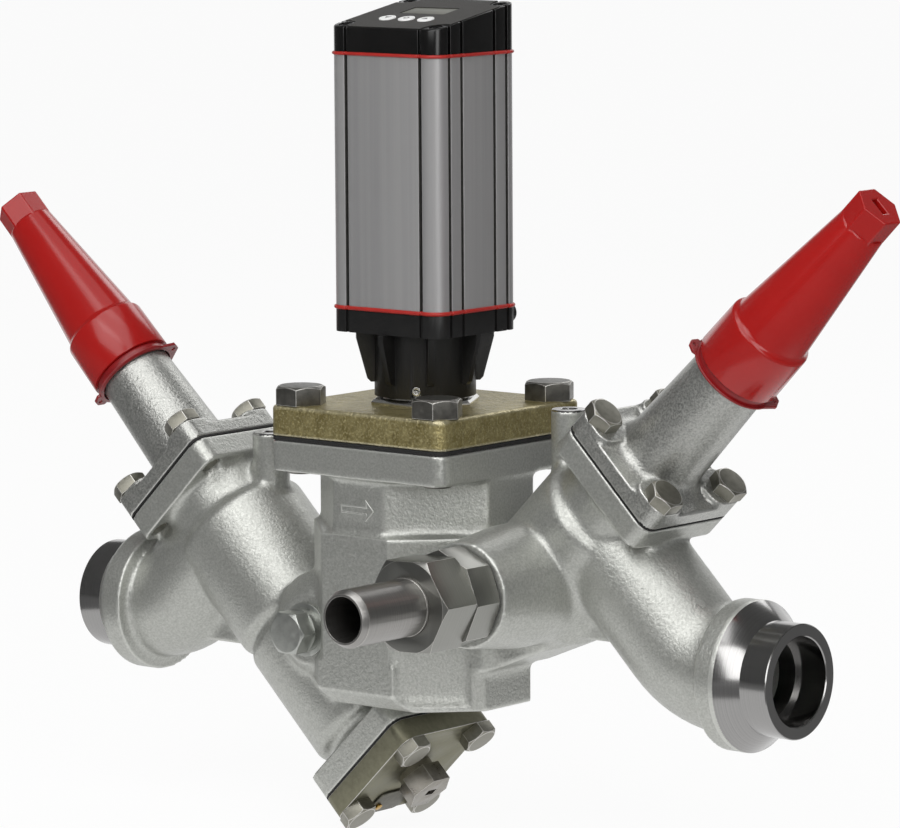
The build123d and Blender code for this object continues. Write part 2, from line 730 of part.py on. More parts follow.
def stop_valve(name, face, drop, ear_angle, head_turn):
    """All pieces of one stop valve, on the plane of its bonnet's flange face."""
    shoulder = bonnet_shoulder - drop
    top = bonnet_top - drop
    low = small_cover - cover_waist
    seat = -seat_depth

    # Bonnet: flange with corner pads, tapered tube and threaded end
    with BuildPart() as bonnet:
        square_plate(face, small_flange, small_corner, 0, low)
        with BuildSketch(face) as pads:
            with GridLocations(small_flange - corner_pad, small_flange - corner_pad, 2, 2):
                RectangleRounded(corner_pad, corner_pad, small_corner)
        extrude(pads.sketch, amount=small_cover)
        foot = bonnet_base_radius + bonnet_fillet + 1
        with BuildSketch(section(face)) as profile:
            with BuildLine():
                neck = FilletPolyline(
                    (foot, low), (bonnet_base_radius, low), (bonnet_top_radius, shoulder), radius=bonnet_fillet
                )
                Polyline(
                    neck @ 1, (bonnet_thread_radius, shoulder), (bonnet_thread_radius, top), (0, top),
                    (0, 0), (foot, 0), neck @ 0,
                )
            make_face()
        revolve(profile.sketch, axis=Axis(face.origin, face.z_dir))
        disc(face, chamber_radius - loose_gap, -bonnet_spigot, 0)
        disc(face, bonnet_cavity_radius, -bonnet_spigot, bonnet_cavity_top, mode=Mode.SUBTRACT)
        disc(face, spindle_thread_radius + thread_gap, bonnet_cavity_top, shoulder, mode=Mode.SUBTRACT)
        disc(face, gland_radius + running_gap, shoulder, top, mode=Mode.SUBTRACT)
        bolt_holes(face.offset(small_cover), small_bolt_spacing, small_hole, small_cover)
    write(bonnet, f"{name}_bonnet")
    gasket = face_ring(
        face, small_flange, small_corner, small_gasket, chamber_radius, small_bolt_spacing, small_hole
    )
    write(gasket, f"{name}_bonnet_gasket")
    write(bolt_square(face.offset(small_cover), small_bolt_spacing, small_bolt), f"{name}_bonnet_bolts")

    # Gland nut screwed into the end of the bonnet
    with BuildPart() as gland:
        disc(face, gland_radius, shoulder, top)
        with BuildSketch(face.offset(top)) as flats:
            RegularPolygon(gland_flats / 2, 6, major_radius=False)
        extrude(flats.sketch, amount=gland_head)
        disc(face, spindle_radius + running_gap, shoulder, top + gland_head, mode=Mode.SUBTRACT)
    write(gland, f"{name}_gland")

    # Cone with its seal ring, and the spindle that turns in its hub
    cone_bottom = seat + cone_seal_thickness
    hub_bottom = cone_bottom + cone_thickness
    hub_top = hub_bottom + cone_hub_height
    spindle_bottom = hub_top - spindle_socket_depth
    with BuildPart() as cone:
        disc(face, cone_spigot_radius, seat - cone_spigot, cone_bottom)
        disc(face, cone_radius, cone_bottom, hub_bottom)
        disc(face, cone_hub_radius, hub_bottom, hub_top)
        disc(face, spindle_radius + running_gap, spindle_bottom, hub_top, mode=Mode.SUBTRACT)
    write(cone, f"{name}_cone")
    with BuildPart() as seal:
        disc(face, cone_radius, seat, cone_bottom)
        disc(face, cone_spigot_radius, seat, cone_bottom, mode=Mode.SUBTRACT)
    write(seal, f"{name}_cone_seal")
    thread_low = bonnet_cavity_top + stop_lift / 5
    thread_high = shoulder - stop_lift - 2
    tip = spindle_top - drop
    with BuildPart() as spindle:
        disc(face, spindle_radius, spindle_bottom, tip - spindle_square)
        disc(face, spindle_thread_radius, thread_low, thread_high)
        with BuildSketch(face.offset(tip - spindle_square)) as square:
            Rectangle(spindle_square, spindle_square)
        extrude(square.sketch, amount=spindle_square)
    write(spindle, f"{name}_spindle")

    # Seal ring under the cap, with two lead-seal ears
    ring_top = shoulder - loose_gap
    taper = (bonnet_base_radius - bonnet_top_radius) / (shoulder - low)
    ring_bore = bonnet_top_radius + taper * (ring_thickness + loose_gap) + loose_gap / 2
    ear_centre = ear_reach - ear_length / 2
    with BuildPart() as ring:
        disc(face, ring_radius, ring_top - ring_thickness, ring_top)
        with BuildSketch(face.offset(ring_top - ring_thickness)) as ears:
            with PolarLocations(ear_centre, 2, start_angle=ear_angle):
                SlotOverall(ear_length, ear_width)
        extrude(ears.sketch, amount=ring_thickness)
        disc(face, ring_bore, ring_top - ring_thickness, ring_top, mode=Mode.SUBTRACT)
        with BuildSketch(face.offset(ring_top - ring_thickness)) as eyes:
            with PolarLocations(ear_reach - ear_width / 3, 2, start_angle=ear_angle):
                Circle(ear_eye_radius)
        extrude(eyes.sketch, amount=ring_thickness, mode=Mode.SUBTRACT)
    write(ring, f"{name}_seal_ring")

    # Cap: skirt, long cone and hexagon head with a key slot
    cap_face = face.offset(shoulder)
    cone_start = cap_skirt_length + cap_shoulder
    inner_top = cap_cone_base - cap_wall
    thread_room = bonnet_top - bonnet_shoulder + 1
    inner_end = cap_hex_start - 1
    with BuildPart() as cap:
        turned(
            cap_face,
            (0, 0), (cap_skirt_base, 0), (cap_skirt_top, cap_skirt_length), (cap_cone_base, cone_start),
            (cap_cone_top, cone_start + cap_cone_length), (0, cone_start + cap_cone_length),
        )
        with BuildSketch(cap_face.offset(cap_hex_start)) as head:
            RegularPolygon(cap_hex_flats / 2, 6, major_radius=False, rotation=head_turn)
        extrude(head.sketch, amount=cap_length - cap_hex_start)
        chamfer(cap.faces().sort_by(Axis(face.origin, face.z_dir))[-1].edges(), cap_hex_bevel)
        turned(
            cap_face,
            (0, 0), (bonnet_thread_radius + thread_gap, 0), (bonnet_thread_radius + thread_gap, thread_room),
            (inner_top, thread_room), (inner_top, cone_start),
            (cap_cone_top - cap_wall, inner_end), (0, inner_end),
            mode=Mode.SUBTRACT,
        )
        with BuildSketch(cap_face.offset(cap_length)) as slot:
            Rectangle(*key_slot, rotation=head_turn)
        extrude(slot.sketch, amount=-key_slot_depth, mode=Mode.SUBTRACT)
    write(cap, f"{name}_cap")


small_bolt = hex_bolt(
    small_bolt_flats, small_bolt_head, small_bolt_radius,
    small_cover + small_gasket + small_flange_thickness - small_bolt_recess,
)
large_bolt = hex_bolt(
    large_bolt_flats, large_bolt_head, large_bolt_radius,
    large_cover + large_gasket + large_flange_thickness + large_bolt_tip,
)
stop_valve("inlet", inlet_face, inlet_drop, inlet_ear_angle, inlet_head_turn)
stop_valve("outlet", outlet_face, 0, outlet_ear_angle, outlet_head_turn)

# Strainer: cover, gasket, bolts, perforated basket, purge plug and tag
with BuildPart() as strainer_cover:
    square_plate(strainer_face, small_flange, small_corner, 0, small_cover)
    disc(strainer_face, chamber_radius - loose_gap, -strainer_spigot, 0)
    disc(strainer_face, purge_thread_radius + thread_gap, -strainer_spigot, small_cover, mode=Mode.SUBTRACT)
    bolt_holes(strainer_face.offset(small_cover), small_bolt_spacing, small_hole, small_cover)
write(strainer_cover, "strainer_cover")
strainer_gasket = face_ring(
    strainer_face, small_flange, small_corner, small_gasket, chamber_radius, small_bolt_spacing, small_hole
)
write(strainer_gasket, "strainer_gasket")
strainer_bolts = bolt_square(strainer_face.offset(small_cover), small_bolt_spacing, small_bolt)
write(strainer_bolts, "strainer_bolts")

basket_end = -strainer_reach - strainer_bore_end
with BuildPart() as strainer_basket:
    disc(strainer_face, basket_radius, basket_end, -strainer_spigot)
    disc(strainer_face, basket_radius - basket_wall, basket_end, -strainer_spigot - basket_wall, mode=Mode.SUBTRACT)
    row_pitch = (strainer_reach + strainer_bore_end - strainer_spigot) / (basket_rows + 1)
    for row in range(basket_rows):
        for side in range(basket_sides):
            across = strainer_face.offset(basket_end + (row + 1) * row_pitch)
            turn = radians(180 / basket_sides * (side + row % 2 / 2))
            drill = Plane(origin=across.origin, z_dir=across.x_dir * cos(turn) + across.y_dir * sin(turn))
            with BuildSketch(drill) as hole:
                Circle(basket_hole)
            extrude(hole.sketch, amount=basket_radius + 1, both=True, mode=Mode.SUBTRACT)
write(strainer_basket, "strainer_basket")

with BuildPart() as purge_plug:
    disc(strainer_face, purge_thread_radius, -purge_inset, small_cover)
    disc(strainer_face, purge_collar_radius, small_cover, small_cover + purge_collar)
    with BuildSketch(strainer_face.offset(small_cover + purge_collar)) as flats:
        RegularPolygon(purge_flats / 2, 6, major_radius=False)
    extrude(flats.sketch, amount=purge_head)
    with BuildSketch(strainer_face.offset(small_cover + purge_collar + purge_head)) as slot:
        Rectangle(*purge_slot)
    extrude(slot.sketch, amount=-purge_slot_depth, mode=Mode.SUBTRACT)
write(purge_plug, "purge_plug")

tag_y = small_flange / 2 - tag_edge - tag_width / 2
with BuildPart() as tag_plate:
    with BuildSketch(strainer_face.offset(small_cover)) as plate:
        with Locations((0, tag_y)):
            RectangleRounded(tag_length, tag_width, tag_corner)
    extrude(plate.sketch, amount=tag_thickness)
write(tag_plate, "tag_plate")
with BuildPart() as tag_pin:
    with BuildSketch(strainer_face.offset(small_cover + tag_thickness)) as head:
        with Locations((tag_pin_x, small_flange / 2 - tag_pin_edge)):
            Circle(tag_pin_radius)
    extrude(head.sketch, amount=tag_pin_height)
write(tag_pin, "tag_pin")

# Motor valve: cover, gasket and four bolts
cover_spigot_bottom = insert_bottom + insert_length
adapter_thread_bottom = cover_top_z - adapter_seat
with BuildPart() as motor_cover:
    square_plate(motor_axis, large_flange, large_corner, cover_bottom_z, cover_top_z)
    chamfer(motor_cover.faces().sort_by(Axis.Z)[-1].edges(), cover_bevel)
    disc(motor_axis, insert_radius, cover_spigot_bottom, cover_bottom_z)
    disc(motor_axis, insert_bore_radius, cover_spigot_bottom, cover_bottom_z - spindle_roof, mode=Mode.SUBTRACT)
    disc(motor_axis, motor_shaft_radius + thread_gap, cover_spigot_bottom, cover_top_z, mode=Mode.SUBTRACT)
    disc(motor_axis, adapter_thread_size + thread_gap, adapter_thread_bottom, cover_top_z, mode=Mode.SUBTRACT)
    bolt_holes(motor_axis.offset(cover_top_z), large_bolt_spacing, large_hole, large_cover)
write(motor_cover, "motor_cover")
motor_gasket = face_ring(
    motor_axis.offset(cover_bottom_z), large_flange, large_corner, large_gasket,
    insert_radius + loose_gap, large_bolt_spacing, large_hole,
)
write(motor_gasket, "motor_gasket")
corner = large_bolt_spacing / 2
for number, (side_x, side_y) in enumerate(((-1, -1), (1, -1), (1, 1), (-1, 1)), start=1):
    with BuildPart(motor_axis.offset(cover_top_z)) as motor_bolt:
        with Locations((side_x * corner, side_y * corner)):
            add(large_bolt)
    write(motor_bolt, f"motor_bolt_{number}")

# Motor valve insides: guide with side ports, seat ring, piston cone and spindle
with BuildPart() as motor_guide:
    disc(motor_axis, insert_radius, insert_bottom, cover_spigot_bottom)
    disc(motor_axis, insert_bore_radius, insert_bottom, cover_spigot_bottom, mode=Mode.SUBTRACT)
    for direction in ((1, 0, 0), (0, 1, 0)):
        port = Plane(origin=(motor_x, 0, passage_z), z_dir=direction)
        with BuildSketch(port) as hole:
            Circle(port_radius)
        extrude(hole.sketch, amount=insert_radius + 1, both=True, mode=Mode.SUBTRACT)
write(motor_guide, "motor_guide")
with BuildPart() as motor_seat:
    disc(motor_axis, seat_ring_radius, insert_bottom - seat_ring_height, insert_bottom)
    disc(motor_axis, seat_ring_bore, insert_bottom - seat_ring_height, insert_bottom, mode=Mode.SUBTRACT)
write(motor_seat, "motor_seat")
hub_base = insert_bottom + motor_cone_height
hub_end = hub_base + motor_hub_height
with BuildPart() as motor_cone:
    disc(motor_axis, insert_bore_radius - loose_gap, insert_bottom, hub_base)
    disc(motor_axis, motor_hub_radius, hub_base, hub_end)
    disc(motor_axis, motor_spindle_radius + thread_gap, insert_bottom + seat_ring_bore, hub_end, mode=Mode.SUBTRACT)
write(motor_cone, "motor_cone")
thread_end = cover_bottom_z - spindle_roof - thread_gap
rotor_radius = can_radius - can_wall - loose_gap
with BuildPart() as motor_spindle:
    disc(motor_axis, motor_spindle_radius, insert_bottom + seat_ring_bore + motor_lift + 1, thread_end)
    disc(motor_axis, motor_shaft_radius, thread_end, magnet_bottom + rotor_inset)
    disc(motor_axis, rotor_radius, magnet_bottom + rotor_inset, can_top - can_wall - rotor_inset)
write(motor_spindle, "motor_spindle")

# Steel adapter that seals the spindle and carries the actuator
with BuildPart() as stem_adapter:
    with BuildSketch(motor_axis.offset(cover_top_z)) as flats:
        RegularPolygon(adapter_corner_radius, 6, rotation=adapter_turn)
    extrude(flats.sketch, amount=adapter_flange)
    chamfer(stem_adapter.faces().sort_by(Axis.Z)[-1].edges(), adapter_bevel)
    disc(motor_axis, adapter_thread_size, adapter_thread_bottom, cover_top_z)
    disc(motor_axis, adapter_ring_radius, cover_top_z, cover_top_z + adapter_flange + adapter_ring)
    disc(motor_axis, can_radius, cover_top_z, can_top)
    disc(motor_axis, motor_shaft_radius + thread_gap, adapter_thread_bottom, magnet_bottom, mode=Mode.SUBTRACT)
    disc(motor_axis, can_radius - can_wall, magnet_bottom, can_top - can_wall, mode=Mode.SUBTRACT)
write(stem_adapter, "stem_adapter")

# The grooved outline that the base lip, gaskets, extrusion and lid all follow
def grooved_outline(overhang):
    """Rounded rectangle with its vertical grooves, grown by an overhang."""
    RectangleRounded(shell_x + 2 * overhang, shell_y + 2 * overhang, shell_corner + overhang)
    with GridLocations(front_groove_x * 2, shell_y + 2 * overhang, 2, 2):
        Rectangle(groove_width, groove_depth * 2, mode=Mode.SUBTRACT)
    for groove_y in side_groove_y:
        with GridLocations(shell_x + 2 * overhang, groove_y * 2, 2, 2):
            Rectangle(groove_depth * 2, groove_width, mode=Mode.SUBTRACT)


# Actuator base: round collar, flared fins and the square lip under the extrusion
magnet_top = can_top + coupling_gap + magnet_roof
stepper_bottom = magnet_top + magnet_headroom
base_bore = adapter_ring_radius + loose_gap
with BuildPart() as actuator_base:
    turned(
        motor_axis,
        (0, flare_bottom - flare_step), (flare_bottom_radius - flare_step, flare_bottom - flare_step),
        (flare_bottom_radius, flare_bottom), (flare_top_radius, flare_top), (flare_top_radius, lip_bottom),
        (0, lip_bottom),
    )
    with BuildSketch(motor_axis.offset(base_bottom)) as fins:
        Circle(base_radius)
        with PolarLocations(flare_top_radius / 2, base_fins):
            Rectangle(flare_top_radius + 2, base_fin)
    extrude(fins.sketch, amount=lip_bottom - base_bottom, mode=Mode.INTERSECT)
    disc(motor_axis, base_radius, base_bottom, lip_bottom)
    with BuildSketch(motor_axis.offset(lip_bottom)) as lip:
        grooved_outline(0)
    extrude(lip.sketch, amount=lip_top - lip_bottom)
    with BuildSketch(motor_axis.offset(lip_top)) as posts:
        with GridLocations(post_x * 2, post_y * 2, 2, 2):
            Circle(post_radius)
    extrude(posts.sketch, amount=stepper_bottom - lip_top)
    disc(motor_axis, base_bore, base_bottom, lip_top, mode=Mode.SUBTRACT)
    for number in range(set_screws):
        turn = radians(set_screw_angle + number * 360 / set_screws)
        drill = Plane(
            origin=(motor_x, 0, set_screw_z), x_dir=(-sin(turn), cos(turn), 0), z_dir=(cos(turn), sin(turn), 0)
        )
        with BuildSketch(drill) as notch:
            Circle(set_screw_radius)
            with Locations((0, (base_bottom - set_screw_z) / 2)):
                Rectangle(set_screw_radius * 2, set_screw_z - base_bottom)
        extrude(notch.sketch, amount=base_radius + 1, mode=Mode.SUBTRACT)
    for side in (-1, 1):
        inlet = Plane(
            origin=(motor_x + side * cable_inlet_spacing / 2, shell_y / 2, (lip_bottom + lip_top) / 2),
            z_dir=(0, 1, 0),
        )
        disc(inlet, cable_thread_radius, -cable_thread, 0, mode=Mode.SUBTRACT)
write(actuator_base, "actuator_base")
with BuildPart() as set_screws_part:
    for number in range(set_screws):
        turn = radians(set_screw_angle + number * 360 / set_screws)
        drill = Plane(origin=(motor_x, 0, set_screw_z), z_dir=(cos(turn), sin(turn), 0))
        disc(drill, set_screw_radius, base_bore, base_radius - set_screw_inset)
write(set_screws_part, "actuator_set_screws")

# Aluminium extrusion between two red gaskets
inner_x = shell_x - 2 * shell_wall
inner_y = shell_y - 2 * shell_wall
inner_corner = shell_corner - shell_wall


def actuator_gasket(low, height):
    """Red gasket that stands out a little around the extrusion."""
    with BuildPart() as ring:
        with BuildSketch(motor_axis.offset(low)) as outline:
            grooved_outline(gasket_overhang)
            RectangleRounded(inner_x, inner_y, inner_corner, mode=Mode.SUBTRACT)
        extrude(outline.sketch, amount=height)
    return ring


write(actuator_gasket(lip_top, gasket_height), "actuator_lower_gasket")
write(actuator_gasket(shell_top, upper_gasket_height), "actuator_upper_gasket")
with BuildPart() as actuator_shell:
    with BuildSketch(motor_axis.offset(shell_bottom)) as outline:
        grooved_outline(0)
        RectangleRounded(inner_x, inner_y, inner_corner, mode=Mode.SUBTRACT)
    extrude(outline.sketch, amount=shell_length)
write(actuator_shell, "actuator_shell")

# Lid with its sloping control panel
lid_slope = (lid_back_z - lid_front_z) / shell_y
lid_middle_z = (lid_back_z + lid_front_z) / 2
panel = Plane(origin=(motor_x, 0, lid_middle_z), x_dir=(1, 0, 0), z_dir=(0, -lid_slope, 1))
board_top = lid_bottom - board_drop


def lid_wedge(size_x, size_y, corner, low, drop):
    """Rounded block whose top follows the sloping panel, a distance below it."""
    half = size_y / 2
    with BuildPart() as wedge:
        with BuildSketch(motor_axis.offset(low)) as outline:
            RectangleRounded(size_x, size_y, corner)
        extrude(outline.sketch, amount=lid_back_z - low)
        with BuildSketch(Plane(origin=(motor_x, 0, 0), x_dir=(0, 1, 0), z_dir=(1, 0, 0))) as above:
            with BuildLine():
                Polyline(
                    (-half - 1, lid_middle_z - drop - lid_slope * (half + 1)),
                    (half + 1, lid_middle_z - drop + lid_slope * (half + 1)),
                    (half + 1, lid_back_z + 1 + lid_slope), (-half - 1, lid_back_z + 1 + lid_slope), close=True,
                )
            make_face()
        extrude(above.sketch, amount=size_x, both=True, mode=Mode.SUBTRACT)
    return wedge


lid_block = lid_wedge(shell_x, shell_y, shell_corner, lid_bottom, 0)
lid_cavity = lid_wedge(inner_x, inner_y, inner_corner, lid_bottom, lid_wall)
lid_posts = lid_wedge(inner_x, inner_y, inner_corner, board_top, lid_wall)
with BuildPart() as post_columns:
    with BuildSketch(motor_axis.offset(board_top)) as columns:
        with GridLocations(post_x * 2, post_y * 2, 2, 2):
            Circle(post_radius)
    extrude(columns.sketch, amount=lid_back_z - board_top)
    add(lid_posts.part, mode=Mode.INTERSECT)
with BuildPart() as actuator_lid:
    add(lid_block.part)
    chamfer(actuator_lid.faces().sort_by(Axis(panel.origin, panel.z_dir))[-1].edges(), lid_bevel)
    with BuildSketch(motor_axis.offset(lid_bottom)) as sides:
        grooved_outline(0)
    extrude(sides.sketch, amount=lid_back_z - lid_bottom, mode=Mode.INTERSECT)
    add(lid_cavity.part, mode=Mode.SUBTRACT)
    add(post_columns.part)
    with BuildSketch(panel) as pockets:
        with GridLocations(lid_screw_x * 2, lid_screw_y * 2, 2, 2):
            Circle(lid_screw_radius + button_gap)
    extrude(pockets.sketch, amount=-lid_screw_depth, mode=Mode.SUBTRACT)
    with BuildSketch(panel) as window_seat:
        with Locations((0, window_centre_y)):
            Rectangle(window_x, window_y)
    extrude(window_seat.sketch, amount=-window_thickness, mode=Mode.SUBTRACT)
    with BuildSketch(panel) as button_holes:
        with Locations((0, button_y)):
            with GridLocations(button_pitch, 1, 3, 1):
                Circle(button_radius + button_gap)
    extrude(button_holes.sketch, amount=-lid_wall - 1, mode=Mode.SUBTRACT)
write(actuator_lid, "actuator_lid")
with BuildPart() as lid_screws:
    with BuildSketch(panel.offset(-lid_screw_depth)) as heads:
        with GridLocations(lid_screw_x * 2, lid_screw_y * 2, 2, 2):
            Circle(lid_screw_radius)
    extrude(heads.sketch, amount=lid_screw_head)
    with BuildSketch(panel.offset(lid_screw_head - lid_screw_depth)) as sockets:
        with GridLocations(lid_screw_x * 2, lid_screw_y * 2, 2, 2):
            RegularPolygon(lid_screw_radius / 2, 6)
    extrude(sockets.sketch, amount=-lid_screw_head / 2, mode=Mode.SUBTRACT)
write(lid_screws, "lid_screws")
with BuildPart() as actuator_window:
    with BuildSketch(panel.offset(-window_thickness)) as pane:
        with Locations((0, window_centre_y)):
            Rectangle(window_x, window_y)
    extrude(pane.sketch, amount=window_thickness)
write(actuator_window, "actuator_window")
panel_wall = lid_wall * (1 + lid_slope ** 2) ** -0.5
for number in range(3):
    with BuildPart() as button:
        with BuildSketch(panel.offset(-panel_wall)) as stem:
            with Locations(((number - 1) * button_pitch, button_y)):
                Circle(button_radius)
        extrude(stem.sketch, amount=panel_wall + button_proud)
        with BuildSketch(panel.offset(-panel_wall)) as flange:
            with Locations(((number - 1) * button_pitch, button_y)):
                Circle(button_radius + button_flange)
        extrude(flange.sketch, amount=-button_flange)
    write(button, f"button_{number + 1}")

# Drive inside the actuator: coupling magnet, stepper motor and circuit board
with BuildPart() as coupling_magnet:
    disc(motor_axis, magnet_radius, magnet_bottom, magnet_top)
    disc(motor_axis, can_radius + coupling_gap, magnet_bottom, can_top + coupling_gap, mode=Mode.SUBTRACT)
    disc(motor_axis, stepper_shaft_radius, magnet_top, stepper_bottom + motor_shaft_length)
write(coupling_magnet, "coupling_magnet")
with BuildPart() as stepper_motor:
    with BuildSketch(motor_axis.offset(stepper_bottom)) as case:
        RectangleRounded(stepper_size, stepper_size, stepper_corner)
    extrude(case.sketch, amount=stepper_height)
    disc(
        motor_axis, stepper_shaft_radius + running_gap, stepper_bottom,
        stepper_bottom + motor_shaft_length + 1, mode=Mode.SUBTRACT,
    )
write(stepper_motor, "stepper_motor")
with BuildPart() as circuit_board:
    with BuildSketch(motor_axis.offset(board_top)) as board:
        RectangleRounded(inner_x - 2 * board_edge, inner_y - 2 * board_edge, inner_corner)
    extrude(board.sketch, amount=-board_thickness)
write(circuit_board, "circuit_board")

# Two cable inlets at the back of the actuator base
for number, side in enumerate((-1, 1), start=1):
    inlet = Plane(
        origin=(motor_x + side * cable_inlet_spacing / 2, shell_y / 2, (lip_bottom + lip_top) / 2),
        z_dir=(0, 1, 0),
    )
    with BuildPart() as cable_inlet:
        disc(inlet, cable_thread_radius - running_gap, -cable_thread, 0)
        disc(inlet, cable_inlet_radius, 0, cable_inlet_length)
        disc(inlet, cable_bore_radius, -cable_thread, cable_inlet_length, mode=Mode.SUBTRACT)
        chamfer(cable_inlet.edges().sort_by(Axis.Y)[-1], cable_bevel)
    write(cable_inlet, f"cable_inlet_{number}")

# Side port: sealing washer, hexagon adapter, union nut and welding nipple
adapter_back = side_boss_y + side_seal
nut_back = adapter_back + adapter_length
thread_end_y = nut_back + adapter_thread
nut_front = nut_back + union_nut_length
nipple_front = thread_end_y + nipple_length
with BuildPart() as port_washer:
    disc(side_port, port_washer_radius, side_boss_y, adapter_back)
    disc(side_port, adapter_stub_radius + thread_gap, side_boss_y, adapter_back, mode=Mode.SUBTRACT)
write(port_washer, "port_washer")
with BuildPart() as port_adapter:
    with BuildSketch(side_port.offset(adapter_back)) as flats:
        RegularPolygon(adapter_flats / 2, adapter_sides, major_radius=False, rotation=port_adapter_turn)
    extrude(flats.sketch, amount=adapter_length)
    adapter_corner = adapter_flats / 2 / cos(radians(180 / adapter_sides))
    turned(
        side_port,
        (0, adapter_back), (adapter_corner - hex_bevel, adapter_back), (adapter_corner, adapter_back + hex_bevel),
        (adapter_corner, nut_back), (0, nut_back),
        mode=Mode.INTERSECT,
    )
    disc(side_port, adapter_stub_radius, side_boss_y - adapter_stub, adapter_back)
    disc(side_port, adapter_thread_radius, nut_back, thread_end_y)
    disc(side_port, side_bore_radius, side_boss_y - adapter_stub, thread_end_y, mode=Mode.SUBTRACT)
write(port_adapter, "port_adapter")
with BuildPart() as union_nut:
    with BuildSketch(side_port.offset(nut_back)) as flats:
        RegularPolygon(union_nut_flats / 2, 6, major_radius=False, rotation=union_nut_turn)
    extrude(flats.sketch, amount=union_nut_length)
    nut_corner = union_nut_flats / 3 ** 0.5
    turned(
        side_port,
        (0, nut_back), (nut_corner - hex_bevel, nut_back), (nut_corner, nut_back + hex_bevel),
        (nut_corner, nut_front - hex_bevel), (nut_corner - 2 * hex_bevel, nut_front), (0, nut_front),
        mode=Mode.INTERSECT,
    )
    disc(side_port, adapter_thread_radius + thread_gap, nut_back, thread_end_y + nipple_collar, mode=Mode.SUBTRACT)
    disc(side_port, nipple_radius + thread_gap, nut_back, nut_front, mode=Mode.SUBTRACT)
write(union_nut, "union_nut")
with BuildPart() as welding_nipple:
    turned(
        side_port,
        (0, thread_end_y), (adapter_thread_radius, thread_end_y),
        (adapter_thread_radius, thread_end_y + nipple_collar),
        (nipple_radius + nipple_land, thread_end_y + nipple_collar),
        (nipple_radius + nipple_land, nut_front + nipple_land_length), (nipple_radius, nut_front + nipple_land_length),
        (nipple_radius, nipple_front - nipple_bevel), (nipple_end_radius, nipple_front), (0, nipple_front),
    )
    disc(side_port, side_bore_radius, thread_end_y, nipple_front, mode=Mode.SUBTRACT)
write(welding_nipple, "welding_nipple")

# Blind plug with its washer
with BuildPart() as blind_washer:
    disc(plug_plane, plug_washer_radius, plug_boss_y, plug_boss_y + plug_washer)
    disc(plug_plane, plug_thread_radius + thread_gap, plug_boss_y, plug_boss_y + plug_washer, mode=Mode.SUBTRACT)
write(blind_washer, "blind_plug_washer")
plug_bolt = hex_bolt(plug_flats, plug_head, plug_thread_radius, plug_thread + plug_washer + plug_collar)
plug_seat = plug_plane.offset(plug_boss_y + plug_washer)
with BuildPart(plug_seat.offset(plug_collar)) as blind_plug:
    add(plug_bolt)
    disc(plug_seat, plug_collar_radius, 0, plug_collar)
write(blind_plug, "blind_plug")
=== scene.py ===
import math

import bmesh
import bpy
import numpy as np
from mathutils import Matrix, Vector


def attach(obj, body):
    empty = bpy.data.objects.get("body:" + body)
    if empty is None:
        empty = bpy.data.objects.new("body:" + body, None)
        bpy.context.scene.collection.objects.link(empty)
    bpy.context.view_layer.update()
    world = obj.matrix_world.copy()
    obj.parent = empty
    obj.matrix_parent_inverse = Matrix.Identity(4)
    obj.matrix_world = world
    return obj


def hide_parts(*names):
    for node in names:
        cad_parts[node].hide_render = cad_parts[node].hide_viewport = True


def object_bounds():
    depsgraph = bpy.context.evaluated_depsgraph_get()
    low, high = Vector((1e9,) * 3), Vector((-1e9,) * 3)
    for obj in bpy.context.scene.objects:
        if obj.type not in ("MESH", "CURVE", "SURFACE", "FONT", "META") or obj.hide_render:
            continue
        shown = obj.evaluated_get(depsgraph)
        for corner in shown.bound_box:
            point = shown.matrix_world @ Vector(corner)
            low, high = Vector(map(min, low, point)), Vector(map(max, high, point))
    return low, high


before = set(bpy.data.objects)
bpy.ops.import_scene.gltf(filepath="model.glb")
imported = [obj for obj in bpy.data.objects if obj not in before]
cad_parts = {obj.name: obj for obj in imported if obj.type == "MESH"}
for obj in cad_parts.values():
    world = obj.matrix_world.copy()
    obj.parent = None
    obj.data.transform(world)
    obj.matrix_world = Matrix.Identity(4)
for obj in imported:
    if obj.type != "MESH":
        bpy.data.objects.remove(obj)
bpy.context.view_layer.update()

# Zinc-plated casting: one body of ductile iron that joins two stop valves, a strainer and a motor
# valve. Sand cast, so its skin has a soft orange peel and every inner corner is filled with a
# fillet. The plating is thin and pale, with a faint green cast.
MM = 0.001
LINE_Y = Vector((0, -1, 0))
TURN_STEPS = 160


def linear(text):
    """Colour from a written sRGB value, in the linear light that the shaders use."""
    parts = [int(text[k:k + 2], 16) / 255 for k in (1, 3, 5)]
    return [c / 12.92 if c <= 0.04045 else ((c + 0.055) / 1.055) ** 2.4 for c in parts] + [1]


def add(tree, kind, inputs=(), **settings):
    """One shader node with its settings; an input may be a value or another node's output."""
    made = tree.nodes.new(kind)
    for key, value in settings.items():
        setattr(made, key, value)
    for key, value in dict(inputs).items():
        if isinstance(value, bpy.types.NodeSocket):
            tree.links.new(value, made.inputs[key])
        else:
            made.inputs[key].default_value = value
    return made


def finish(name, **sockets):
    """New material with its shader and the piece's own coordinates in metres."""
    made = bpy.data.materials.new(name)
    made.use_nodes = True
    tree = made.node_tree
    shader = tree.nodes["Principled BSDF"]
    for key, value in sockets.items():
        shader.inputs[key.replace("_", " ")].default_value = value
    place = add(tree, "ShaderNodeTexCoord").outputs["Object"]
    return made, tree, shader, place


def grain(tree, place, size, detail=2.0, rough=0.5):
    """Noise whose lumps are about the given size in metres."""
    return add(tree, "ShaderNodeTexNoise", {"Vector": place, "Scale": 1 / size, "Detail": detail,
                                            "Roughness": rough}).outputs["Fac"]


def spread(tree, value, low, high, start=0.3, end=0.7):
    """The value stretched between two levels."""
    return add(tree, "ShaderNodeMapRange", {"Value": value, "From Min": start, "From Max": end,
                                            "To Min": low, "To Max": high}).outputs["Result"]


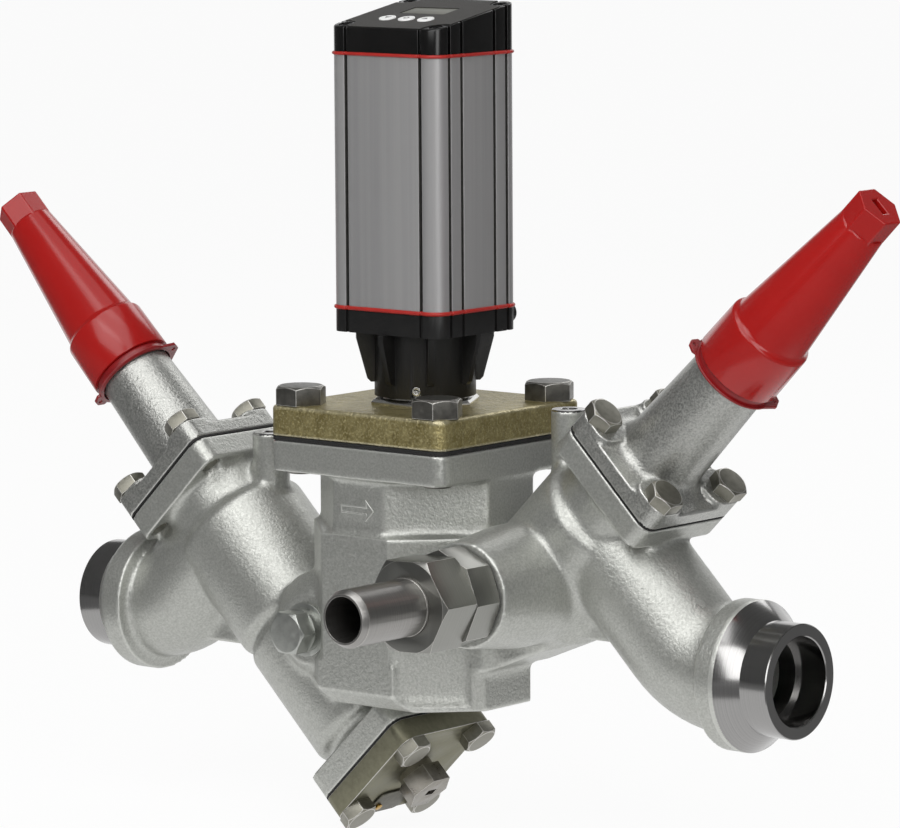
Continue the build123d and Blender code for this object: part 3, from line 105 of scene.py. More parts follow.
def tint(tree, shader, share, first, second):
    """Base colour between two written ones; the first may also be another node's colour."""
    start = first if isinstance(first, bpy.types.NodeSocket) else linear(first)
    mixed = add(tree, "ShaderNodeMix", {0: share, 6: start, 7: linear(second)}, data_type="RGBA")
    tree.links.new(mixed.outputs[2], shader.inputs["Base Color"])
    return mixed.outputs[2]


def edges(tree, low=0.515, high=0.56):
    """One on the outer edges of a dense mesh; the lighter colour it drives there is partly wear from
    handling and partly a painted highlight.
    """
    sharp = add(tree, "ShaderNodeNewGeometry").outputs["Pointiness"]
    return spread(tree, sharp, 0, 1, low, high)


def relief(tree, shader, *layers):
    """Bump from one or more heights, each with its depth in metres."""
    normal = None
    for height, depth in layers:
        bump = add(tree, "ShaderNodeBump", {"Height": height, "Distance": depth, "Strength": 1.0})
        if normal:
            tree.links.new(normal, bump.inputs["Normal"])
        normal = bump.outputs["Normal"]
    tree.links.new(normal, shader.inputs["Normal"])


def place_object(name, mesh, materials, body="station"):
    """Object in the scene with its materials, riding on a body."""
    made = bpy.data.objects.new(name, mesh)
    bpy.context.scene.collection.objects.link(made)
    mesh.materials.clear()
    for material in materials:
        mesh.materials.append(material)
    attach(made, body)
    return made


def applied(made):
    """The object's mesh with its modifiers worked in."""
    bpy.context.view_layer.update()
    graph = bpy.context.evaluated_depsgraph_get()
    mesh = bpy.data.meshes.new_from_object(made.evaluated_get(graph))
    made.modifiers.clear()
    made.data = mesh
    return mesh


def banded(work, rings):
    """Faces between rings of vertices that follow one another."""
    for low, high in zip(rings, rings[1:]):
        for k in range(len(low)):
            following = (k + 1) % len(low)
            work.faces.new((low[k], low[following], high[following], high[k]))


def made_mesh(work, name, sharp=None):
    """Mesh from the faces so far, with creases where it turns by more than an angle in degrees."""
    bmesh.ops.recalc_face_normals(work, faces=work.faces)
    mesh = bpy.data.meshes.new(name)
    work.to_mesh(mesh)
    work.free()
    mesh.shade_smooth()
    if sharp:
        mesh.set_sharp_from_angle(angle=math.radians(sharp))
    return mesh


def turned_piece(profile, origin, axis):
    """Mesh of a turned piece; the profile gives distances along the axis and radii in mm."""
    axis = Vector(axis).normalized()
    across = axis.cross(LINE_Y)
    turns = [2 * math.pi * k / TURN_STEPS for k in range(TURN_STEPS)]
    work = bmesh.new()
    rings = []
    for along, radius in profile:
        centre = Vector(origin) + axis * along
        outward = [LINE_Y * math.cos(t) + across * math.sin(t) for t in turns]
        rings.append([work.verts.new((centre + way * radius) * MM) for way in outward])
    banded(work, rings)
    return made_mesh(work, "turned", 28)


def cast_skin(node, voxel, fillet_steps, clean_steps, wall=None):
    """Mesh of a casting: even skin, fillets in its inner corners, outer corners slightly worn.

    A wall is a mesh that becomes one with the casting.
    """
    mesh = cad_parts[node].data.copy()
    work = bmesh.new()
    work.from_mesh(mesh)
    if wall:
        work.from_mesh(wall)
    bmesh.ops.remove_doubles(work, verts=work.verts, dist=2e-6)
    work.to_mesh(mesh)
    work.free()
    block = bpy.data.objects.new("block", mesh)
    bpy.context.scene.collection.objects.link(block)
    remesh = block.modifiers.new("skin", "REMESH")
    remesh.mode = "VOXEL"
    remesh.voxel_size = voxel
    skin = applied(block)
    bpy.data.objects.remove(block)
    count = len(skin.vertices)
    points = np.empty(count * 3)
    skin.vertices.foreach_get("co", points)
    points = points.reshape(-1, 3)
    ends = np.empty(len(skin.edges) * 2, dtype=np.int32)
    skin.edges.foreach_get("vertices", ends)
    first, second = ends.reshape(-1, 2).T
    share = (np.bincount(first, minlength=count) + np.bincount(second, minlength=count))[:, None]
    normals = np.empty(count * 3)

    def pull():
        total = [np.bincount(first, points[second, k], count)
                 + np.bincount(second, points[first, k], count) for k in range(3)]
        return np.stack(total, 1) / share - points

    for step in range(fillet_steps):
        if step % 4 == 0:
            skin.vertices.foreach_set("co", points.ravel())
            skin.update()
            skin.vertices.foreach_get("normal", normals)
            facing = normals.reshape(-1, 3)
        move = pull()
        hollow = (move * facing).sum(1, keepdims=True) > 0
        points += move * hollow * 0.5
    for step in range(clean_steps):
        # each smoothing is followed by a slightly stronger swell, so that the size stays
        points += pull() * 0.5
        points -= pull() * 0.53
    skin.vertices.foreach_set("co", points.ravel())
    skin.update()
    skin.shade_smooth()
    return skin


def cut_away(mesh, point, normal):
    """Removes the side of the mesh that the normal points to."""
    work = bmesh.new()
    work.from_mesh(mesh)
    bmesh.ops.bisect_plane(work, geom=work.verts[:] + work.edges[:] + work.faces[:], plane_co=point,
                           plane_no=normal, clear_outer=True)
    work.to_mesh(mesh)
    work.free()


# orange peel about 1.5 mm across, on a grain drawn 0.9 mm across where the real one is finer
zinc_cast, tree, shader, place = finish("zinc_plated_sand_cast_iron", Metallic=0.75, Roughness=0.4)
peel = grain(tree, place, 1.5 * MM, 2)
sand = grain(tree, place, 0.9 * MM, 2, 0.6)
speckle = tint(tree, shader, spread(tree, sand, 0, 1, 0.35, 0.65), "#A9AAA5", "#BCBDB8")
# lighter outer edges: partly wear, partly painted highlight
tint(tree, shader, edges(tree), speckle, "#CFD0CB")
tree.links.new(spread(tree, peel, 0.34, 0.46), shader.inputs["Roughness"])
relief(tree, shader, (grain(tree, place, 7 * MM, 2), 0.06 * MM), (peel, 0.12 * MM), (sand, 0.12 * MM))

MOUTH_NOSE = 12.0
OUTLET_END = 350.0
OUTLET_CONE = 330.6
INLET_CROSS_X = 105.6
OUTLET_CROSS_X = 205.1
# the outlet's chamber is wider than the casting in the crook at the back; a ring of metal closes it there
CHAMBER_WALL = [(17.0, 16.5), (17.0, 19.6), (33.0, 19.6), (33.0, 16.5), (17.0, 16.5)]
chamber_wall = turned_piece(CHAMBER_WALL, (OUTLET_CROSS_X, 0, 0), (1, 0, 1))
casting = place_object("casting", cast_skin("housing", 0.95 * MM, 22, 1, chamber_wall), [zinc_cast])
cut_away(casting.data, (MOUTH_NOSE * MM, 0, 0), (-1, 0, 0))
cut_away(casting.data, ((OUTLET_CONE - 1) * MM, 0, 0), (1, 0, 0))
casting.data.shade_smooth()

# Weld-in pipe ends: turned bright on the casting itself, a nose at the inlet, a cone and nose at
# the outlet, each with a bored socket. Fine turning rings run round them.


def turned_finish(name, axis, first, second, ring, rough):
    """Bare metal with turning rings along an axis; the rings are drawn coarser than real ones."""
    made, tree, shader, place = finish(name, Metallic=1.0)
    along = add(tree, "ShaderNodeSeparateXYZ", {"Vector": place}).outputs[axis]
    line = add(tree, "ShaderNodeCombineXYZ", {"X": along})
    rings = add(tree, "ShaderNodeTexNoise", {"Vector": line.outputs[0], "Scale": 1 / (ring * MM),
                                             "Detail": 2.0, "Roughness": 0.7}).outputs["Fac"]
    tint(tree, shader, spread(tree, rings, 0, 1), first, second)
    tree.links.new(spread(tree, rings, rough, rough + 0.05), shader.inputs["Roughness"])
    relief(tree, shader, (rings, 0.0025 * MM))
    return made


turned_x = turned_finish("turned_steel_pipe_end", "X", "#929190", "#A1A09F", 0.4, 0.15)
# distances from the mouth and radii: bored socket, face and nose, then what follows at each end
NOSE_SHAPE = [(24.0, 15.1), (13.0, 15.1), (13.0, 17.1), (0.4, 17.1), (0, 17.5), (0, 21.65), (0.35, 22.0),
              (MOUTH_NOSE, 22.0)]
INLET_ROOT = [(13.5, 21.6)]
OUTLET_CONE_SHAPE = [(19.4, 28.95), (19.6, 29.05), (21.4, 29.05), (22.5, 28.0)]
inlet_end = place_object("inlet_pipe_end", turned_piece(
    NOSE_SHAPE + INLET_ROOT, (0, 0, 0), (1, 0, 0)), [turned_x])
outlet_end = place_object("outlet_pipe_end", turned_piece(
    NOSE_SHAPE + OUTLET_CONE_SHAPE, (OUTLET_END, 0, 0), (-1, 0, 0)), [turned_x, zinc_cast])
for face in outlet_end.data.polygons:
    if face.center.x < OUTLET_CONE * MM:
        face.material_index = 1
for piece in (casting, inlet_end, outlet_end):
    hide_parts("housing")

# Boss facings: the two upright bosses of the casting are milled flat and bright, with a tapped hole.
# Each boss is given by its place along the station, the height of its top and its radius.
BOSSES = ((87.3, 73.8, 7.3), (240.3, 94.7, 6.6))
BOSS_HOLE = [(0.2, 3.6), (0, 3.3), (-0.75, 3.2), (-0.75, 0.05)]
for number, (x, top, radius) in enumerate(BOSSES, 1):
    rim = [(-0.6, radius), (0.05, radius), (0.2, radius - 0.2)]
    facing = place_object(f"boss_facing_{number}", turned_piece(
        rim + BOSS_HOLE, (x, 0, top), (0, 0, 1)), [turned_x])

# Flow arrow: a raised outline cast on the front pad.
MOTOR_X = 168.5
PAD_Y = -41.5
ARROW_Z = 54.0
ARROW_FOOT = 0.3
ARROW_RELIEF = 0.55
ARROW_OUTER = [(-8.5, -1.7), (4.1, -1.7), (4.1, -4.4), (8.5, 0), (4.1, 4.4), (4.1, 1.7), (-8.5, 1.7)]
ARROW_INNER = [(-7.7, -0.9), (4.9, -0.9), (4.9, -2.5), (7.4, 0), (4.9, 2.5), (4.9, 0.9), (-7.7, 0.9)]


def rounded(made, width, steps, harden=False):
    """The mesh of the piece with its edges rounded by a width in mm."""
    bevel = made.modifiers.new("edge", "BEVEL")
    bevel.width = width * MM
    bevel.segments = steps
    bevel.harden_normals = harden
    return applied(made)


work = bmesh.new()
rings = []
for outline, y in ((ARROW_OUTER, PAD_Y + ARROW_FOOT), (ARROW_OUTER, PAD_Y - ARROW_RELIEF),
                   (ARROW_INNER, PAD_Y - ARROW_RELIEF), (ARROW_INNER, PAD_Y + ARROW_FOOT)):
    rings.append([work.verts.new((Vector((MOTOR_X + x, y, ARROW_Z + z))) * MM) for x, z in outline])
banded(work, rings + rings[:1])
arrow = place_object("flow_arrow", made_mesh(work, "arrow"), [zinc_cast])
rounded(arrow, 0.25, 3).shade_smooth()
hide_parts("housing")

# Stop valve bonnets: separate sand castings with a grainier, brighter zinc skin, each on a square
# flange with raised pads under its four bolts.
zinc_grain, tree, shader, place = finish("zinc_plated_grainy_cast_iron", Metallic=0.85, Roughness=0.35)
sand = grain(tree, place, 0.8 * MM, 2, 0.6)
speckle = tint(tree, shader, spread(tree, sand, 0, 1, 0.35, 0.65), "#9C9D99", "#C0C0BC")
# lighter outer edges: partly wear, partly painted highlight
tint(tree, shader, edges(tree), speckle, "#D8D8D4")
tree.links.new(spread(tree, sand, 0.3, 0.46), shader.inputs["Roughness"])
relief(tree, shader, (sand, 0.17 * MM), (grain(tree, place, 2.2 * MM, 2), 0.2 * MM))

for side in ("inlet", "outlet"):
    skin = cast_skin(side + "_bonnet", 0.7 * MM, 20, 1)
    bonnet = place_object(side + "_bonnet_casting", skin, [zinc_grain])
    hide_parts(side + "_bonnet")

# Hexagon-head bolts: small ones on the bonnets and the strainer, large dark ones on the motor
# valve. Forged steel with a thin coating; their eased edges take a lighter colour.


def eased(node, name, width, materials, body="station", limit=25):
    """Copy of a machined or moulded node with its edges eased; replaces the node.

    The width is in mm; edges that turn by less than the limit in degrees stay. A second material goes
    on the eased edges.
    """
    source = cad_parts[node]
    mesh = source.data.copy()
    work = bmesh.new()
    work.from_mesh(mesh)
    bmesh.ops.remove_doubles(work, verts=work.verts, dist=2e-6)
    bmesh.ops.dissolve_limit(work, angle_limit=math.radians(0.8), verts=work.verts,
                             edges=work.edges, delimit=set())
    work.to_mesh(mesh)
    work.free()
    made = place_object(name, mesh, materials, body)
    for face in mesh.polygons:
        face.material_index = 0
    mesh.shade_smooth()
    bevel = made.modifiers.new("edge", "BEVEL")
    bevel.width = width * MM
    bevel.segments = 3
    bevel.limit_method = "ANGLE"
    bevel.angle_limit = math.radians(limit)
    bevel.harden_normals = True
    bevel.miter_outer = "MITER_ARC"
    if len(materials) > 1:
        bevel.material = 1
    applied(made)
    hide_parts(node)
    return made


def steel_finish(name, first, second, rough, metal=0.9):
    """Forged or machined steel with faint patches and fine scratches about 0.3 mm apart."""
    made, tree, shader, place = finish(name, Metallic=metal)
    patches = grain(tree, place, 2.5 * MM, 3, 0.6)
    fine = grain(tree, place, 0.35 * MM, 1)
    tint(tree, shader, spread(tree, patches, 0, 1), first, second)
    tree.links.new(spread(tree, patches, rough, rough + 0.15), shader.inputs["Roughness"])
    relief(tree, shader, (fine, 0.02 * MM), (patches, 0.04 * MM))
    return made


small_bolt = steel_finish("plain_steel_small_bolt", "#807E74", "#939187", 0.32)
small_bolt_edge = steel_finish("lighter_steel_edge", "#BBB9B4", "#CCCAC5", 0.3)
large_bolt = steel_finish("blackened_steel_bolt", "#62615D", "#74726D", 0.33)
large_bolt_edge = steel_finish("lighter_blackened_edge", "#C0BEB9", "#D0CEC9", 0.3)
for group in ("inlet_bonnet_bolts", "outlet_bonnet_bolts", "strainer_bolts"):
    eased(group, group + "_forged", 0.22, [small_bolt, small_bolt_edge])
for k in range(1, 5):
    eased(f"motor_bolt_{k}", f"motor_bolt_{k}_forged", 0.35, [large_bolt, large_bolt_edge])

# Sealing caps: red injection-moulded nylon, glossy, hollow, with a hexagon head set on the cone. Each
# screws down on a darker red sealing ring that has a small ear and a broad one, with holes for a wire.
cap_red, tree, shader, place = finish("red_moulded_nylon_gloss", Roughness=0.2, IOR=1.5)
tint(tree, shader, spread(tree, grain(tree, place, 30 * MM), 0, 1), "#98110F", "#A01512")
ring_red, tree, shader, place = finish("dark_red_moulded_nylon", Roughness=0.32, IOR=1.53)
tint(tree, shader, spread(tree, grain(tree, place, 4 * MM), 0, 1), "#7A0E12", "#861216")
relief(tree, shader, (grain(tree, place, 1.5 * MM, 1), 0.02 * MM))
CAP_LENGTH = 90.5
HEX_START = 76.5
HEX_CORNER = 9.8
KEY_SLOT = [(-1.75, -3.5), (1.75, -3.5), (1.75, 3.5), (-1.75, 3.5)]
# height above the cap's edge and radius: hollow inside, then skirt, rounded step and long cone
CAP_SHAPE = [(76.0, 0.05), (76.0, 6.6), (24.0, 12.2), (16.5, 12.3), (16.3, 13.7), (0.3, 13.7), (0, 14.0),
             (0, 17.2), (0.12, 17.45), (0.4, 17.58), (20.0, 17.22), (20.5, 17.15), (20.9, 16.98),
             (21.2, 16.7), (21.6, 16.25), (22.1, 15.86), (22.6, 15.63), (23.2, 15.48), (79.0, 9.6),
             (79.6, 9.4), (80.0, 9.0), (80.0, 7.0)]
EAR_FOOT = 4.6
EAR_TIP = 2.3
EAR_REACH = 20.4
SMALL_EAR = [(16.8, -EAR_FOOT), (18.2, -EAR_FOOT), (EAR_REACH - 0.5, -EAR_TIP),
             (EAR_REACH, -EAR_TIP + 0.7), (EAR_REACH, EAR_TIP - 0.7), (EAR_REACH - 0.5, EAR_TIP),
             (18.2, EAR_FOOT), (16.8, EAR_FOOT)]
# the other ear is a broad tag whose sides run straight off the ring; its inner edge follows the ring
BROAD_EAR = [(13.1, -11.0), (EAR_REACH - 0.7, -3.1), (EAR_REACH, -2.4), (EAR_REACH, 2.4),
             (EAR_REACH - 0.7, 3.1), (13.1, 11.0)]
BROAD_EAR += [(16.6 * math.cos(math.radians(t)), 16.6 * math.sin(math.radians(t)))
              for t in range(36, -37, -12)]
EAR_EYE = 0.8
EAR_THICK = 1.3
EYE_INSET = 1.9
RING_FOOT = -4.2
# distance below the cap's edge and radius: a hub inside a dished lip
RING_SHAPE = [(-0.4, 15.9), (-0.3, 16.0), (-0.3, 16.3), (-0.5, 16.4), (-2.8, 16.4), (-3.1, 17.1),
              (-2.9, 17.6), (-3.1, 17.8), (-3.5, 17.8), (-4.0, 17.3), (-4.2, 16.9), (-4.2, 16.0),
              (-0.4, 15.9)]


def slab(point, outline, low, high, holes=()):
    """Plate from an outline and its openings; point turns x, y and a height into a place."""
    work = bmesh.new()
    loops = [[work.verts.new(point(x, y, high) * MM) for x, y in ring] for ring in (outline, *holes)]
    rims = [work.edges.new((ring[k], ring[(k + 1) % len(ring)]))
            for ring in loops for k in range(len(ring))]
    way = (point(0, 0, high) - point(0, 0, low)).normalized()
    bmesh.ops.triangle_fill(work, edges=rims, use_beauty=True, use_dissolve=False, normal=way)
    sides = bmesh.ops.extrude_face_region(work, geom=work.faces[:])
    moved = [v for v in sides["geom"] if isinstance(v, bmesh.types.BMVert)]
    bmesh.ops.translate(work, verts=moved, vec=way * (low - high) * MM)
    return made_mesh(work, "slab", 35)


def circle(x, y, radius, count=48):
    """Points of a circle, or of a polygon with few of them."""
    turns = [2 * math.pi * k / count for k in range(count)]
    return [(x + radius * math.cos(t), y + radius * math.sin(t)) for t in turns]


# each valve's axis leaves the station's line at a place and leans to one side; the cap's edge lies at a
# distance along it, and the small ear is turned round it by an angle
STOP_VALVES = (("inlet", INLET_CROSS_X, -1, 133.7, -55), ("outlet", OUTLET_CROSS_X, 1, 164.9, -57))
for side, cross_x, lean, shoulder, ear_turn in STOP_VALVES:
    axis = Vector((lean, 0, 1)).normalized()
    seat = Vector((cross_x, 0, 0)) + axis * shoulder

    def on_cap(x, y, height):
        return seat + LINE_Y * x + axis.cross(LINE_Y) * y + axis * height

    shank = place_object(side + "_cap_moulded", turned_piece(CAP_SHAPE, seat, axis), [cap_red],
                         side + "_cap")
    head = place_object(side + "_cap_hexagon", slab(
        on_cap, circle(0, 0, HEX_CORNER, 6), HEX_START, CAP_LENGTH, [KEY_SLOT]), [cap_red], side + "_cap")
    head.data.set_sharp_from_angle(angle=math.radians(180))
    rounded(head, 0.6, 4, harden=True)
    for piece in (shank, head):
        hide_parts(side + "_cap")
    seal = place_object(side + "_seal_ring_moulded", turned_piece(RING_SHAPE, seat, axis), [ring_red])
    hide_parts(side + "_seal_ring")
    for number in (0, 1):
        turn = math.radians(ear_turn + 180 * number)
        outward = LINE_Y * math.cos(turn) + axis.cross(LINE_Y) * math.sin(turn)
        sideways = axis.cross(outward)

        def on_ear(x, y, height):
            return seat + outward * x + sideways * y + axis * (RING_FOOT + height)

        ear = place_object(f"{side}_seal_ear_{number + 1}", slab(
            on_ear, (SMALL_EAR, BROAD_EAR)[number], 0.0, EAR_THICK,
            [circle(EAR_REACH - EYE_INSET, 0, EAR_EYE, 20)]), [ring_red])
        rounded(ear, 0.25, 2).shade_smooth()
        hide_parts(side + "_seal_ring")

# Strainer: a square steel cover plate on a flat gasket, a purge plug in its middle, and a thin steel
# tag plate on a brass pin. The plate has an olive cast; the plug is turned and brighter.
plate_steel = steel_finish("olive_passivated_steel_plate", "#757361", "#898774", 0.4)
plug_steel = steel_finish("turned_steel_plug", "#87837C", "#9F9B93", 0.26)
gasket_dark, tree, shader, place = finish("pressed_fibre_gasket", Roughness=0.75)
tint(tree, shader, spread(tree, grain(tree, place, 0.8 * MM), 0, 1), "#101010", "#262524")
relief(tree, shader, (grain(tree, place, 0.5 * MM), 0.03 * MM))
tag_dark, tree, shader, place = finish("etched_steel_tag_plate", Metallic=0.8, Roughness=0.45)
tint(tree, shader, spread(tree, grain(tree, place, 3 * MM), 0, 1), "#5A5850", "#6E6C62")
relief(tree, shader, (grain(tree, place, 0.8 * MM), 0.02 * MM))
brass, tree, shader, place = finish("turned_brass_pin", Metallic=1.0, Roughness=0.25)
tint(tree, shader, spread(tree, grain(tree, place, 1.5 * MM), 0, 1), "#A8843C", "#C29C52")
eased("strainer_cover", "strainer_cover_plate", 0.35, [plate_steel, small_bolt_edge])
eased("purge_plug", "purge_plug_turned", 0.25, [plug_steel, small_bolt_edge])
eased("tag_plate", "tag_plate_pressed", 0.3, [tag_dark])
eased("tag_pin", "tag_pin_turned", 0.15, [brass])

# Motor valve cover: a thick cast plate in yellow chromate on zinc, rough along its sides and
# smoother on top, with a black gasket under it.
chromate, tree, shader, place = finish("yellow_chromate_on_zinc", Metallic=0.75, Roughness=0.4)
blotch = grain(tree, place, 6 * MM, 4, 0.65)
sand = grain(tree, place, 1.1 * MM, 3, 0.6)
stain = tint(tree, shader, spread(tree, blotch, 0, 1), "#85794C", "#AB9F70")
speckle = tint(tree, shader, spread(tree, sand, 0, 0.7, 0.5, 0.7), stain, "#CDC294")
# lighter outer edges: partly wear along the rim, partly painted highlight
tint(tree, shader, edges(tree), speckle, "#E2DCC2")
tree.links.new(spread(tree, sand, 0.3, 0.48), shader.inputs["Roughness"])
relief(tree, shader, (grain(tree, place, 2.6 * MM, 3), 0.75 * MM), (sand, 0.2 * MM))
cover = place_object("motor_cover_casting", cast_skin("motor_cover", 0.7 * MM, 6, 4), [chromate])
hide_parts("motor_cover")

# Stem adapter: a bright turned steel nut with a thin ring above it, under the actuator. It holds the
# actuator on the cover.
bright_steel = turned_finish("bright_turned_steel", "Z", "#D6D5D1", "#DFDEDA", 0.4, 0.2)
eased("stem_adapter", "stem_adapter_turned", 0.3, [bright_steel])

# Actuator base: black glass-filled nylon, moulded with flared fins; fine spark-eroded grain. Three
# bright set screws with hexagon sockets clamp it on the stem adapter.
black_plastic, tree, shader, place = finish("black_moulded_nylon", Roughness=0.42, IOR=1.53)
fine = grain(tree, place, 0.5 * MM, 2)
tint(tree, shader, spread(tree, grain(tree, place, 6 * MM), 0, 1), "#0E0E0E", "#141313")
tree.links.new(spread(tree, fine, 0.36, 0.5), shader.inputs["Roughness"])
relief(tree, shader, (fine, 0.04 * MM))
eased("actuator_base", "actuator_base_moulded", 0.35, [black_plastic])
SET_SCREW_Z = 98.6
SET_SCREW_TURN = -60.7
SET_SCREW_START = 17.4
SET_SCREW_END = 19.7
SET_SCREW_RADIUS = 1.8
SET_SCREW_SOCKET = 1.0
for number in range(3):
    turn = math.radians(SET_SCREW_TURN + 120 * number)
    outward = Vector((math.cos(turn), math.sin(turn), 0))
    sideways = outward.cross(Vector((0, 0, 1)))

    def on_screw(x, y, height):
        return Vector((MOTOR_X, 0, SET_SCREW_Z + y)) + sideways * x + outward * height

    screw = place_object(f"actuator_set_screw_{number + 1}", slab(
        on_screw, circle(0, 0, SET_SCREW_RADIUS, 32), SET_SCREW_START, SET_SCREW_END,
        [circle(0, 0, SET_SCREW_SOCKET, 6)]), [bright_steel])
    rounded(screw, 0.25, 3).shade_smooth()
    screw.data.set_sharp_from_angle(angle=math.radians(40))
    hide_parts("actuator_set_screws")

# Extrusion: aluminium drawn through a die, brushed and clear anodised. The die and the brush leave
# fine upright lines, drawn 0.3 to 1 mm apart where the real ones are finer.
anodised, tree, shader, place = finish("brushed_anodised_aluminium", Metallic=0.55, Roughness=0.42)
squeeze = add(tree, "ShaderNodeMapping", {"Vector": place, "Scale": (1, 1, 0.01)}).outputs[0]
lines = grain(tree, squeeze, 0.5 * MM, 3, 0.7)
wide = grain(tree, squeeze, 3 * MM, 2)
tint(tree, shader, spread(tree, wide, 0, 1), "#A09FA0", "#A9A8A8")
tree.links.new(spread(tree, lines, 0.38, 0.5), shader.inputs["Roughness"])
relief(tree, shader, (lines, 0.025 * MM))
SHELL_X = 27.8
SHELL_Y = 24.8
SHELL_CORNER = 6.0
SHELL_WALL = 2.4
SHELL_LOW = 131.2
SHELL_HIGH = 229.2
GROOVES_FRONT = (18.7, -18.7)
GROOVES_SIDE = (17.5, 10.0, -10.0, -17.5)
GROOVE_WIDTH = 1.6
GROOVE_DEPTH = 2.1
GROOVE_LIP = 0.3
# half the depth and half the width seen from each side, and the places of its grooves
SHELL_SIDES = ((SHELL_X, SHELL_Y, GROOVES_SIDE), (SHELL_Y, SHELL_X, GROOVES_FRONT))


def grooved(inset, width, depth, lip=GROOVE_LIP):
    """Outline of the extrusion, drawn in by an inset, with upright grooves in its four sides."""
    outline = []
    corner = SHELL_CORNER - inset
    ease = min(0.2, depth / 2)
    for side in range(4):
        turn = 90 * side
        half, other, spots = SHELL_SIDES[side % 2]
        run = []
        for spot in sorted(spots):
            half_groove = [(lip * (1 - math.cos(t)), width / 2 + lip * (1 - math.sin(t)))
                           for t in map(math.radians, (0, 30, 60, 90))]
            half_groove += [(depth - ease, width / 2), (depth, width / 2 - ease)]
            run += [(half - inset - down, spot - across) for down, across in half_groove]
            run += [(half - inset - down, spot + across) for down, across in half_groove[::-1]]
        for k in range(9):
            angle = math.radians(90 * k / 8)
            run.append((half - inset - corner + corner * math.cos(angle),
                        other - inset - corner + corner * math.sin(angle)))
        cos, sin = math.cos(math.radians(turn)), math.sin(math.radians(turn))
        outline.extend((x * cos - y * sin, x * sin + y * cos) for x, y in run)
    return outline


def upright(x, y, height):
    """Point in mm, with x and y from the actuator's own axis."""
    return Vector((MOTOR_X + x, y, height))


# the groove faces take a darker grey than the anodising: painted shade in the grooves
groove_painted_shade = steel_finish("anodised_groove_painted_shade", "#4A4947", "#565552", 0.45, 0.5)
shell = place_object("actuator_extrusion", slab(
    upright, grooved(0, GROOVE_WIDTH, GROOVE_DEPTH), SHELL_LOW, SHELL_HIGH,
    [grooved(SHELL_WALL, GROOVE_WIDTH, 0.01, 0.001)]), [anodised, groove_painted_shade])


def in_groove(along, depth, spots):
    """Whether a place on a side lies in one of its grooves, below the rounded lip."""
    near = min(abs(along - abs(spot)) for spot in spots)
    return near < 1.0 and GROOVE_LIP + 0.05 < depth < GROOVE_DEPTH + 0.1


# faces inside the grooves, below the lip, get the darker grey: painted shade
for face in shell.data.polygons:
    across_x = abs(face.center.x / MM - MOTOR_X)
    across_y = abs(face.center.y / MM)
    in_front = in_groove(across_x, SHELL_Y - across_y, GROOVES_FRONT)
    in_side = in_groove(across_y, SHELL_X - across_x, GROOVES_SIDE)
    if (in_front or in_side) and abs(face.normal.z) < 0.5:
        face.material_index = 1
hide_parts("actuator_shell")

# Gaskets of the actuator: red silicone that bulges out between the mouldings and the extrusion, and
# dips into the grooves.
silicone, tree, shader, place = finish("red_silicone_gasket", Roughness=0.4, IOR=1.45)
tint(tree, shader, spread(tree, grain(tree, place, 5 * MM), 0, 1), "#9A1E19", "#A6241D")
relief(tree, shader, (grain(tree, place, 1.2 * MM), 0.03 * MM))
GASKET_BULGE = 0.85


def cord_ring(low, high):
    """Round-edged cord between two levels that follows the outline and dips into its grooves."""
    work = bmesh.new()
    levels = []
    for k in range(9):
        angle = math.radians(-90 + 22.5 * k)
        outline = grooved(-GASKET_BULGE * math.cos(angle), 1.3, 0.9, 0.5)
        levels.append(((low + high) / 2 + (high - low) / 2 * math.sin(angle), outline))
    inner_outline = grooved(SHELL_WALL, 1.3, 0.01, 0.001)
    levels += [(high, inner_outline), (low, inner_outline)]
    rings = [[work.verts.new(upright(x, y, height) * MM) for x, y in outline] for height, outline in levels]
    banded(work, rings + rings[:1])
    return made_mesh(work, "cord", 50)


for level, low, high in (("lower", 129.6, 131.2), ("upper", 229.2, 230.6)):
    cord = place_object(f"actuator_{level}_gasket_moulded", cord_ring(low, high), [silicone])
    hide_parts(f"actuator_{level}_gasket")

# Lid: black nylon with a glossier moulded skin, hollow, with a sloping top. It is screwed down through
# pockets in its corners, and has a recess for the window and holes for the buttons.
black_gloss, tree, shader, place = finish("black_moulded_nylon_smooth", Roughness=0.22, IOR=1.5)
tint(tree, shader, spread(tree, grain(tree, place, 8 * MM), 0, 1), "#080808", "#0D0C0C")
LID_LOW = 230.6
LID_FRONT_Z = 240.2
LID_BACK_Z = 249.3
LID_WALL = 2.4
SCREW_X = 22.8
SCREW_Y = 20.0
POCKET = 2.75
POCKET_DEPTH = 1.8
slope = (LID_BACK_Z - LID_FRONT_Z) / (2 * SHELL_Y)
lid_middle = Vector((MOTOR_X, 0, (LID_FRONT_Z + LID_BACK_Z) / 2))
up_slope = Vector((0, 1, slope)).normalized()
off_panel = Vector((0, -slope, 1)).normalized()
WINDOW = [(-11.15, -0.75), (11.15, -0.75), (11.15, 9.55), (-11.15, 9.55)]
WINDOW_DEPTH = 1.2
BUTTON_PITCH = 9.7
BUTTON_Y = -10.0
BUTTON_HOLE = 3.65
button_holes = [circle(BUTTON_PITCH * k, BUTTON_Y, BUTTON_HOLE) for k in (-1, 0, 1)]


def on_panel(x, y, height=0.0):
    """Point on the sloping top, from its middle, in mm."""
    return lid_middle + Vector((x, 0, 0)) + up_slope * y + off_panel * height


